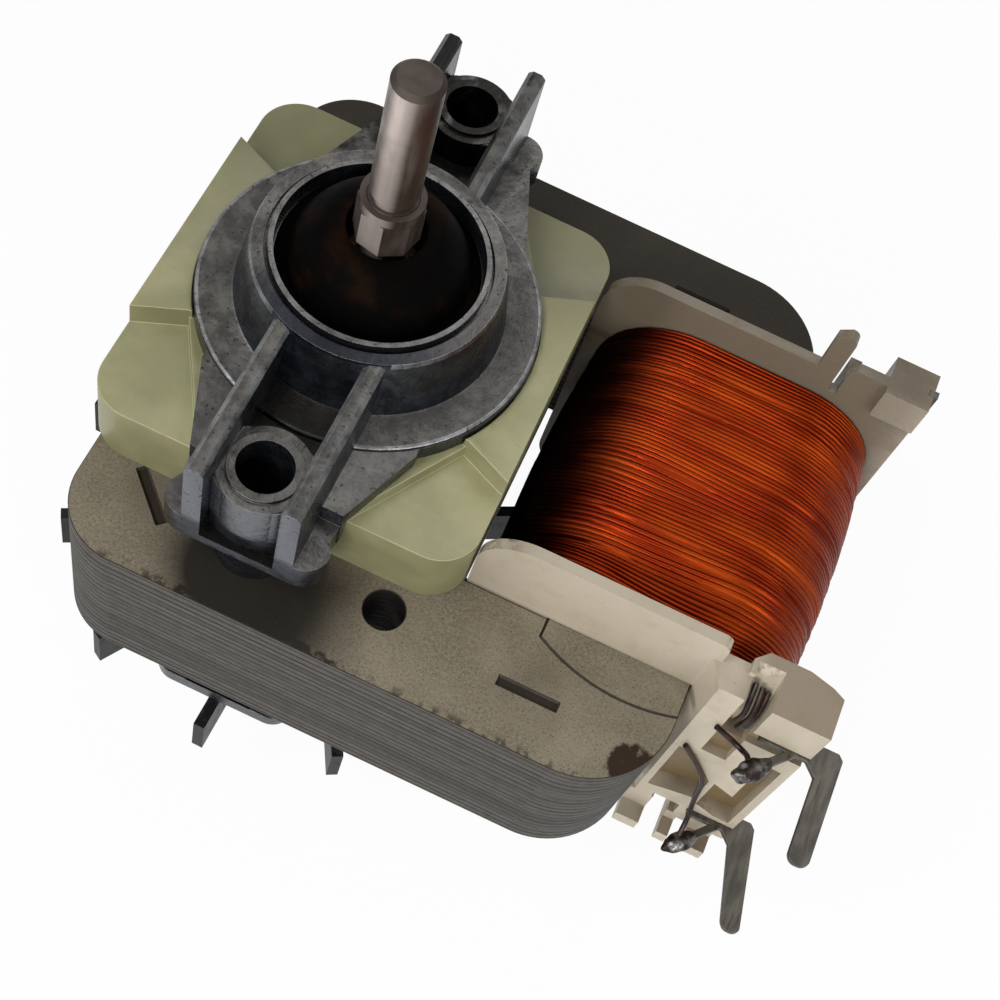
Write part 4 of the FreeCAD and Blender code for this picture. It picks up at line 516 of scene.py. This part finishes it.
# %% Terminals, screws, shading rings, bearings and rotor cage
tarnish = Finish("tinned_steel", Metallic=0.7)
bloom = tarnish.noise(0.5, detail=5.0, stretch=(1.6, 0.35, 1.6)).step(0.3, 0.75)
scratch = tarnish.noise(1.0, detail=3.0, stretch=(1.6, 0.12, 1.6)).step(0.6, 0.7)
tone = tarnish.mix(bloom, (0.050, 0.046, 0.039), (0.120, 0.110, 0.090))
tarnish.set(Base_Color=tarnish.mix(scratch * 0.6, tone, (0.022, 0.018, 0.014)),
            Roughness=0.36 + bloom * 0.2)
tarnish.relief(tarnish.noise(2.0, detail=4.0), 0.02)
dress(tarnish, "rear_terminal_strip")

zinc = Finish("screw_steel", Metallic=1.0)
haze = zinc.noise(0.8, detail=4.0).step(0.4, 0.7)
zinc.set(Base_Color=zinc.mix(haze, (0.30, 0.29, 0.27), (0.46, 0.46, 0.45)),
         Roughness=0.3 + haze * 0.2)
dress(zinc, "clamp_screw_front", "clamp_screw_back")

bare_copper = Finish("copper_bar", Metallic=1.0)
dull = bare_copper.noise(0.5, detail=4.0).step(0.4, 0.7)
bare_copper.set(Base_Color=bare_copper.mix(dull, (0.55, 0.25, 0.13), (0.26, 0.10, 0.055)),
                Roughness=0.32 + dull * 0.2)
dress(bare_copper, "shading_ring_front", "shading_ring_back")

bronze = Finish("sintered_bronze", Metallic=1.0)
pores = bronze.cells(2.6).step(0.05, 0.35)
bronze.set(Base_Color=bronze.mix(pores, (0.14, 0.09, 0.04), (0.48, 0.36, 0.20)),
           Roughness=0.5 - pores * 0.12)
dress(bronze, "front_bearing", "rear_bearing")

cast_white = Finish("cast_aluminium", Metallic=1.0)
pits = cast_white.noise(1.2, detail=5.0)
cast_white.set(Base_Color=cast_white.mix(pits.step(0.4, 0.65), (0.36, 0.36, 0.36),
                                         (0.58, 0.58, 0.59)),
               Roughness=0.38 + pits * 0.2)
dress(cast_white, "rotor_cage")
print("finishes:", len(bpy.data.materials))

# %% [markdown]
# The winding wire has a clear enamel over copper, so it looks like a deep orange red metal. Its
# colour is painted dark towards the rotor, as the shade where no light falls between coil and
# stack. The first and last turns leave as short leads, dark with varnish, to the solder on the
# tabs.

# %% Enamelled wire, leads and solder
enamel = Finish("copper_wire", Metallic=0.97)
shade = enamel.noise(0.14, detail=4.0, stretch=(0.5, 2.2, 0.5)).step(0.35, 0.7)
each_wire = enamel.noise(1.0, detail=3.0, stretch=(0.02, 1.3, 0.02)).step(0.38, 0.62)
# Painted shade: the wire darkens towards the rotor.
sunless = 1 - enamel.axis("X").step(30.0, 40.5)
tone = enamel.mix(shade, (0.145, 0.012, 0.0012), (0.255, 0.036, 0.0028))
tone = enamel.mix(each_wire * 0.5, tone, (0.085, 0.005, 0.0010))
enamel.set(Base_Color=enamel.mix(sunless * 0.93, tone, (0.006, 0.0006, 0.0003)),
           Roughness=0.35 + shade * 0.14)

lead_varnish = Finish("lead_wire", Metallic=0.5)
burnt = lead_varnish.noise(0.5, detail=4.0).step(0.4, 0.65)
lead_varnish.set(Base_Color=lead_varnish.mix(burnt, (0.010, 0.006, 0.005), (0.050, 0.026, 0.018)),
                 Roughness=0.32 + burnt * 0.2)

tin = Finish("solder", Metallic=0.9)
flux = tin.noise(0.6, detail=5.0).step(0.42, 0.62)
tin.set(Base_Color=tin.mix(flux, (0.022, 0.015, 0.011), (0.15, 0.145, 0.145)),
        Roughness=0.42 - flux * 0.12)
tin.relief(tin.noise(1.1, detail=4.0), 0.15)
print("wire finishes ready")

# %% [markdown]
# Pieces that take over a CAD node's place need the same few steps each time: put the mesh into an
# object at the origin, give it its finish, let it ride with its body and hide the node. Copies of
# CAD meshes are merged, sharp edges are softened and round pieces are spun, so each of these is a
# helper too.

# %% Putting a piece into the scene
SAME_POINT = 1e-6
SAME_FACE = 0.5


def settle(data, name, body, finish, *replaced):
    """Makes an object of the data that takes the place of CAD nodes on its body."""
    piece = bpy.data.objects.new(name, data)
    scene.collection.objects.link(piece)
    data.materials.append(finish.material)
    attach(piece, body)
    if replaced:
        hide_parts(*replaced)
    return piece


def from_bmesh(shape, name, smooth_under=None):
    """A mesh from a bmesh, smooth where faces meet at less than an angle in degrees."""
    data = bpy.data.meshes.new(name)
    shape.to_mesh(data)
    shape.free()
    if smooth_under:
        data.shade_smooth()
        data.set_sharp_from_angle(angle=math.radians(smooth_under))
    return data


def merged_copy(node):
    """The CAD mesh of a node with its loose triangles joined into whole faces."""
    shape = bmesh.new()
    shape.from_mesh(nodes[node].data)
    bmesh.ops.remove_doubles(shape, verts=shape.verts, dist=SAME_POINT)
    bmesh.ops.dissolve_limit(shape, angle_limit=math.radians(SAME_FACE), verts=shape.verts,
                             edges=shape.edges)
    return shape


def soften(piece, width, sharpest):
    """Rounds the edges that turn by more than an angle in degrees."""
    bevel = piece.modifiers.new("rounding", "BEVEL")
    bevel.width = width * MM
    bevel.segments = 2
    bevel.limit_method = "ANGLE"
    bevel.angle_limit = math.radians(sharpest)
    bevel.harden_normals = True


def spun(section, steps):
    """A closed section of radii and heights, spun round the rotor axis."""
    shape = bmesh.new()
    points = [shape.verts.new(Vector((radius, 0, height)) * MM) for radius, height in section]
    outline = [shape.edges.new(pair) for pair in zip(points, points[1:] + points[:1])]
    bmesh.ops.spin(shape, geom=points + outline, axis=(0, 0, 1), cent=(0, 0, 0), angle=math.tau,
                   steps=steps, use_merge=True)
    bmesh.ops.recalc_face_normals(shape, faces=shape.faces)
    return shape


print("helpers ready")

# %% [markdown]
# Moulded and cast edges are never knife-sharp: each one catches a thin line of light. A rounded
# copy of the CAD mesh gets that from a Bevel modifier, which needs whole faces in place of the
# triangles. Hardened normals keep the flat faces flat. The terminal tabs end in round tips, so
# the corners of their tips are bevelled in the mesh first.

# %% Rounded copies of moulded, cast and punched pieces
ROUNDED = {
    "coil_bobbin": (ivory, 0.28),
    "front_insulator": (jade, 0.25),
    "rear_insulator": (jade, 0.25),
    "front_bracket": (casting, 0.36),
    "rear_bracket": (casting, 0.36),
    "terminal_tab_upper": (tarnish, 0.16),
    "terminal_tab_lower": (tarnish, 0.16),
}
TAB_TIP, TAB_ROUND, TAB_SHEET = 1.6, 0.45, 0.7


def round_tip(shape):
    """Bevels the upright edges at a terminal tab's tip and counts them."""
    tip = min(vert.co.y for vert in shape.verts) + TAB_TIP * MM
    corners = []
    for edge in shape.edges:
        along_edge = edge.verts[0].co - edge.verts[1].co
        if (all(vert.co.y < tip for vert in edge.verts) and abs(along_edge.z) > TAB_SHEET * MM
                and abs(along_edge.y) < 0.01 * MM):
            corners.append(edge)
    bmesh.ops.bevel(shape, geom=corners, offset=TAB_ROUND * MM, offset_type="OFFSET",
                    segments=3, affect="EDGES", profile=0.5, material=-1, clamp_overlap=True)
    return len(corners)


def rounded_copy(node, finish, width):
    """Takes a CAD node's place with a copy whose edges are rounded."""
    shape = merged_copy(node)
    if node.startswith("terminal_tab"):
        print(node, "tip corners rounded:", round_tip(shape))
    name = node + "_rounded"
    piece = settle(from_bmesh(shape, name, 40), name, "stator", finish, node)
    soften(piece, width, 38)
    return piece


for node, (finish, width) in ROUNDED.items():
    piece = rounded_copy(node, finish, width)
    print(node, "faces before rounding:", len(piece.data.polygons))

# %% [markdown]
# The stack's sides show its sheets. In a copy of the CAD mesh, narrow grooves are cut: three level
# planes slice the walls, and the middle slice moves inwards. The gaps between the grooves vary,
# because sheets stick together in bundles. The plain holes through the stack keep smooth walls.

# %% Grooves between the laminations
GROOVE_DEPTH = 0.10
GROOVE_HALF = 0.10
GROOVE_GAPS = (1.22, 1.42)
GROOVE_EDGE = 0.6
RIM_ROUND = 0.16
HOLE_CLEAR = 3.2
ON_PLANE = 1e-7


def round_rims(shape):
    """Bevels the level edges between the flat faces and the walls."""
    level_edges = [edge for edge in shape.edges
                   if len(edge.link_faces) == 2 and edge.calc_face_angle(0) > math.radians(60)
                   and abs(edge.verts[0].co.z - edge.verts[1].co.z) < SAME_POINT]
    bmesh.ops.bevel(shape, geom=level_edges, offset=RIM_ROUND * MM, offset_type="OFFSET",
                    segments=1, affect="EDGES", profile=0.5, material=-1, clamp_overlap=True)


def cut_groove(shape, level):
    """Slices the walls at three heights and moves the middle slice inwards."""
    for lift in (-GROOVE_HALF, 0.0, GROOVE_HALF):
        bmesh.ops.bisect_plane(shape, geom=shape.verts[:] + shape.edges[:] + shape.faces[:],
                               dist=ON_PLANE, plane_co=(0, 0, level + lift * MM),
                               plane_no=(0, 0, 1))
    for vert in [v for v in shape.verts if abs(v.co.z - level) < SAME_POINT]:
        if math.hypot(vert.co.x / MM - HOLE_X, abs(vert.co.y / MM) - HOLE_Y) < HOLE_CLEAR:
            continue
        wall = Vector((0, 0, 0))
        for normal in {tuple(round(c, 3) for c in face.normal) for face in vert.link_faces}:
            wall += Vector((normal[0], normal[1], 0))
        if wall.length > 0.2:
            vert.co -= wall.normalized() * GROOVE_DEPTH * MM


def grooved_copy(node, finish):
    """Takes a stack's place with a copy that shows its sheets, and counts the grooves."""
    shape = merged_copy(node)
    round_rims(shape)
    low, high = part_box(node)
    dice = random.Random(7)
    level = low.z + GROOVE_EDGE * MM
    count = 0
    while level < high.z - GROOVE_EDGE * MM:
        cut_groove(shape, level)
        level += dice.uniform(*GROOVE_GAPS) * MM
        count += 1
    settle(from_bmesh(shape, node + "_sheets"), node + "_sheets", "stator", finish, node)
    return count


for node in ("stator_core", "coil_core"):
    print(node, "grooves:", grooved_copy(node, sheet_steel))

# %% [markdown]
# The winding is a skin of round wires. It starts as a rounded rectangle, the coil's outline seen
# along its tube, which is spun along the coil without turning, a few rings to each wire.

# %% Skin of the winding
COIL_LEFT, COIL_RIGHT = 27.65, 67.55
COIL_LOW, COIL_HIGH = -54.25, -11.75
COIL_ROUND = 12.5
COIL_HALF = 20.48
COIL_SWELL = 1.15
TUBE_X, TUBE_Z = (34.85, 57.65), (-47.45, -18.55)
WIRES = 66
RINGS = 5

skin = bmesh.new()
corners = [skin.verts.new(Vector((x, -COIL_HALF, z)) * MM) for x, z in (
    (COIL_LEFT, COIL_LOW), (COIL_RIGHT, COIL_LOW),
    (COIL_RIGHT, COIL_HIGH), (COIL_LEFT, COIL_HIGH))]
skin.faces.new(corners)
bmesh.ops.bevel(skin, geom=skin.verts[:], offset=COIL_ROUND * MM, offset_type="OFFSET",
                segments=10, profile=0.5, affect="VERTICES", material=-1)
sides = [edge for edge in skin.edges if edge.calc_length() > 5 * MM]
bmesh.ops.subdivide_edges(skin, edges=sides, cuts=9)
bmesh.ops.delete(skin, geom=skin.faces[:], context="FACES_ONLY")
around = len(skin.verts)
spacing = 2 * COIL_HALF / (WIRES * RINGS)
bmesh.ops.spin(skin, geom=skin.verts[:] + skin.edges[:], axis=(0, 1, 0), cent=(0, 0, 0),
               dvec=(0, spacing * MM, 0), angle=0, steps=WIRES * RINGS)
print("points around the coil:", around, "points along it:", len(skin.verts) // around)

# %% [markdown]
# Every ring now moves out or in by the round of its wire, and the whole skin swells towards the
# middle. Noise lets the wires wander, sink and leave gaps, as hand-guided turns do: one sample for
# each wire lowers it, and a slower one lets neighbours drift along the coil together.

# %% Wires in the skin
WIRE_RISE = 0.28
WIRE_INSET = 0.04
WIRE_SINK = 0.60
WIRE_DRIFT = 1.5


def held(value, limits):
    """The value, or the nearer limit where it lies outside them."""
    return min(max(value, limits[0]), limits[1])


core_x = (COIL_LEFT + COIL_ROUND, COIL_RIGHT - COIL_ROUND)
core_z = (COIL_LOW + COIL_ROUND, COIL_HIGH - COIL_ROUND)
for vert in skin.verts:
    x, y, z = vert.co / MM
    wire, part = divmod(round((y + COIL_HALF) / spacing), RINGS)
    out = (Vector((x, y, z)) - Vector((held(x, core_x), y, held(z, core_z)))).normalized()
    edge_fade = 1 - (abs(y) / COIL_HALF) ** 8
    bow = math.sqrt(max(0, 1 - (2 * part / RINGS - 1) ** 2))
    sunk = max(0, noise.noise(Vector((wire * 5.31, x * 0.045, z * 0.045)))) * WIRE_SINK
    drift = noise.noise(Vector((x * 0.05, y * 0.16, z * 0.05 + 9))) * WIRE_DRIFT
    swell = COIL_SWELL * (1 - (y / COIL_HALF) ** 2)
    move = out * (swell - WIRE_INSET - WIRE_RISE * (1 - bow) - sunk)
    vert.co = (Vector((x, y + drift * edge_fade, z)) + move) * MM
print("wires:", WIRES, "rings to each wire:", RINGS)

# %% [markdown]
# At both ends the skin folds in to the bobbin's tube, and a bridge joins the two ends along the
# tube, so the winding is closed all round.

# %% Ends of the winding
for end in (-1, 1):
    rim = [edge for edge in skin.edges if edge.is_boundary and edge.verts[0].co.y * end > 0]
    inner = bmesh.ops.extrude_edge_only(skin, edges=rim)["geom"]
    for vert in [item for item in inner if isinstance(item, bmesh.types.BMVert)]:
        vert.co = (held(vert.co.x, [limit * MM for limit in TUBE_X]), end * COIL_HALF * MM,
                   held(vert.co.z, [limit * MM for limit in TUBE_Z]))
bmesh.ops.remove_doubles(skin, verts=skin.verts, dist=SAME_POINT)
bmesh.ops.bridge_loops(skin, edges=[edge for edge in skin.edges if edge.is_boundary])
bmesh.ops.recalc_face_normals(skin, faces=skin.faces)
winding = settle(from_bmesh(skin, "wound_wire", 70), "wound_wire", "stator", enamel,
                 "copper_winding")
print("winding faces:", len(winding.data.polygons))

# %% [markdown]
# The front bearing cap is a thin pressed cup with a dome. Its section is drawn as a few points,
# spun round the rotor axis, and a live subdivision rounds the dome between them.

# %% Front bearing cap
CAP_SECTION = (
    (12.60, 2.10), (12.60, 2.66), (11.30, 2.68), (10.90, 4.00), (10.45, 5.40), (9.45, 7.20),
    (7.90, 8.90), (6.20, 9.80), (4.66, 10.00), (4.64, 9.45), (6.10, 9.22), (7.60, 8.40),
    (9.00, 6.85), (9.90, 5.10), (10.30, 3.90), (10.60, 2.12))
CAP_STEPS = 48

cap = settle(from_bmesh(spun(CAP_SECTION, CAP_STEPS), "cap_dome", 60), "cap_dome", "stator", soot,
             "front_bearing_cap")
rounding = cap.modifiers.new("rounding", "SUBSURF")
rounding.levels = 2
rounding.render_levels = 2
print("cap section points:", len(CAP_SECTION))

# %% [markdown]
# The disc's raised face is too fine for the plain model. Its rounded edge runs on over the arms.
# It is one more spun section, laid on the bracket.

# %% Raised disc face
DISC_FACE = ((16.6, -5.25), (21.0, -5.25), (21.35, -5.02), (21.42, -4.88), (21.3, -4.72),
             (21.0, -4.66), (17.2, -4.66), (16.6, -4.3))
DISC_STEPS = 128

settle(from_bmesh(spun(DISC_FACE, DISC_STEPS), "disc_face", 50), "disc_face", "stator", casting)
print("disc section points:", len(DISC_FACE))

# %% [markdown]
# Metal also joins each boss of the casting to its ribs. This web is a ring between an oval and a
# circle. Two planes trim it to the gap between the ribs, and it is extruded down to the arm's
# floor.

# %% Webs between the bosses and their ribs
BOSS_Y = 29.8
BOSS_RADIUS = 4.45
BOSS_WEB_WIDE, BOSS_WEB_DEEP = 7.2, 5.15
BOSS_WEB_LOW, BOSS_WEB_HIGH = -11.0, -0.62
BOSS_WEB_ROUND = 0.3
RIB_GAP = 4.75


def boss_web(side):
    """Lays the web of the boss at -Y or +Y on the bracket."""
    web = bmesh.new()
    rings = []
    for wide, deep in ((BOSS_WEB_WIDE, BOSS_WEB_DEEP), (BOSS_RADIUS, BOSS_RADIUS)):
        made = bmesh.ops.create_circle(web, segments=64, radius=1.0)
        bmesh.ops.scale(web, verts=made["verts"], vec=(wide * MM, deep * MM, 1))
        rings += list({edge for vert in made["verts"] for edge in vert.link_edges})
    bmesh.ops.bridge_loops(web, edges=rings)
    bmesh.ops.translate(web, verts=web.verts, vec=Vector((0, BOSS_Y * side, BOSS_WEB_HIGH)) * MM)
    for end in (-1, 1):
        bmesh.ops.bisect_plane(web, geom=web.verts[:] + web.edges[:] + web.faces[:],
                               dist=ON_PLANE, plane_co=(RIB_GAP * end * MM, 0, 0),
                               plane_no=(end, 0, 0), clear_outer=True)
    made = bmesh.ops.extrude_face_region(web, geom=web.faces[:])["geom"]
    lower = [item for item in made if isinstance(item, bmesh.types.BMVert)]
    bmesh.ops.translate(web, verts=lower, vec=(0, 0, (BOSS_WEB_LOW - BOSS_WEB_HIGH) * MM))
    bmesh.ops.recalc_face_normals(web, faces=web.faces)
    name = "boss_web_front" if side < 0 else "boss_web_back"
    soften(settle(from_bmesh(web, name, 40), name, "stator", casting), BOSS_WEB_ROUND, 50)
    print(name, "laid on")


for side in (-1, 1):
    boss_web(side)

# %% [markdown]
# The leads are thin wires, so each one is a smooth curve with a round section. They start at the
# coil, cross the terminal block and end in the solder. Three short loops of the same wire show in
# the slot beside the block, where the coil's last turns enter.

# %% Leads
LEADS = {
    "lead_lower": ((59.3, -25.88, -28.6), (62.5, -25.88, -32.8), (64.4, -25.88, -36.8),
                   (65.1, -25.88, -43.4), (65.9, -27.48, -47.2), (65.6, -30.4, -48.4)),
    "lead_upper": ((60.7, -25.88, -19.6), (64.7, -25.88, -22.2), (65.9, -28.28, -18.8),
                   (65.6, -30.6, -17.6)),
}
LOOPS = (
    ((62.0, -22.4, -11.2), (62.2, -24.2, -12.6), (62.6, -25.2, -15.2), (62.3, -25.0, -17.4)),
    ((63.0, -22.4, -11.6), (63.3, -24.4, -12.8), (63.4, -25.3, -15.8), (62.9, -25.2, -18.6)),
    ((63.9, -22.4, -12.0), (64.1, -24.0, -13.6), (63.9, -24.9, -16.2), (63.8, -24.8, -18.2)),
)
LEAD_RADIUS = 0.38


def lead_wire(name, points, *replaced):
    """A smooth wire through points in millimetres."""
    curve = bpy.data.curves.new(name, "CURVE")
    curve.dimensions = "3D"
    curve.bevel_depth = LEAD_RADIUS * MM
    curve.bevel_resolution = 3
    curve.use_fill_caps = True
    line = curve.splines.new("NURBS")
    line.points.add(len(points) - 1)
    for point, place in zip(line.points, points):
        point.co = (*(Vector(place) * MM), 1)
    line.order_u = 3
    line.use_endpoint_u = True
    line.resolution_u = 12
    return settle(curve, name + "_wire", "stator", lead_varnish, *replaced)


for name, points in LEADS.items():
    lead_wire(name, points, name)
for index, points in enumerate(LOOPS):
    lead_wire("slot_loop_%d" % index, points)
print("leads:", len(LEADS), "loops in the slot:", len(LOOPS))

# %% [markdown]
# Solder sets as a rounded drop round the tab's prong. A ball is stretched along the prong, noise
# makes it lumpy, and a turn of 45 degrees lays it in the corner between prong and block.

# %% Solder drops
DROPS = {"solder_upper": (66.2, -30.2, -17.4), "solder_lower": (66.2, -30.2, -48.6)}
DROP_SIZE = (2.7, 1.35, 1.15)
DROP_LUMPS = 0.22
DROP_TURN = 45

for index, (name, middle) in enumerate(DROPS.items()):
    drop = bmesh.new()
    bmesh.ops.create_icosphere(drop, subdivisions=4, radius=1.0)
    bmesh.ops.scale(drop, verts=drop.verts, vec=DROP_SIZE)
    for vert in drop.verts:
        vert.co *= 1 + DROP_LUMPS * noise.noise(vert.co * 0.9 + Vector((0, 0, 5 * index)))
    bmesh.ops.rotate(drop, verts=drop.verts, cent=(0, 0, 0),
                     matrix=Matrix.Rotation(math.radians(DROP_TURN), 3, "Z"))
    bmesh.ops.translate(drop, verts=drop.verts, vec=middle)
    bmesh.ops.scale(drop, verts=drop.verts, vec=(MM, MM, MM))
    settle(from_bmesh(drop, name + "_drop", 60), name + "_drop", "stator", tin, name)
print("solder drops:", len(DROPS))

# %% [markdown]
# The floor and the sky are part of the studio and not of the motor. Light Path tells which kind of
# ray asks: rays from the camera, from glossy surfaces and through clear ones are shown a near
# white, while all others meet a plain pale surface. The floor mixes both, so it keeps the motor's
# shadow.

# %% Floor finish and sky
SKY_STRENGTH = 0.24
WHITE_SHARE = 0.94
SEEING_RAYS = ("Is Camera Ray", "Is Glossy Ray", "Is Transmission Ray")


def seeing_rays(tree):
    """1 for rays from the camera, from gloss and through clear surfaces, else 0."""
    path = tree.nodes.new("ShaderNodeLightPath")
    total = path.outputs[SEEING_RAYS[0]]
    for kind in SEEING_RAYS[1:]:
        most = tree.nodes.new("ShaderNodeMath")
        most.operation = "MAXIMUM"
        tree.links.new(total, most.inputs[0])
        tree.links.new(path.outputs[kind], most.inputs[1])
        total = most.outputs[0]
    return total


def mixed(tree, factor, first, second, target):
    """Mixes two shaders by a factor and feeds them to a socket."""
    blend = tree.nodes.new("ShaderNodeMixShader")
    for socket, source in zip(blend.inputs, (factor, first, second)):
        tree.links.new(source, socket)
    tree.links.new(blend.outputs[0], target)


paper = Finish("paper", Roughness=0.9)
paper.shader.inputs["Base Color"].default_value = (0.80, 0.80, 0.80, 1)
glow = paper.tree.nodes.new("ShaderNodeEmission")
share = paper.tree.nodes.new("ShaderNodeMath")
share.operation = "MULTIPLY"
share.inputs[1].default_value = WHITE_SHARE
paper.tree.links.new(seeing_rays(paper.tree), share.inputs[0])
mixed(paper.tree, share.outputs[0], paper.shader.outputs[0], glow.outputs[0],
      paper.tree.nodes["Material Output"].inputs["Surface"])
floor.data.materials.append(paper.material)

world = bpy.data.worlds.new("world")
world.use_nodes = True
sky = world.node_tree
daylight = sky.nodes["Background"]
daylight.inputs["Color"].default_value = (0.94, 0.96, 1.0, 1)
daylight.inputs["Strength"].default_value = SKY_STRENGTH
backdrop = sky.nodes.new("ShaderNodeBackground")
backdrop.inputs["Color"].default_value = (1, 1, 1, 1)
mixed(sky, seeing_rays(sky), daylight.outputs[0], backdrop.outputs[0],
      sky.nodes["World Output"].inputs["Surface"])
scene.world = world
print("floor share of white:", WHITE_SHARE)
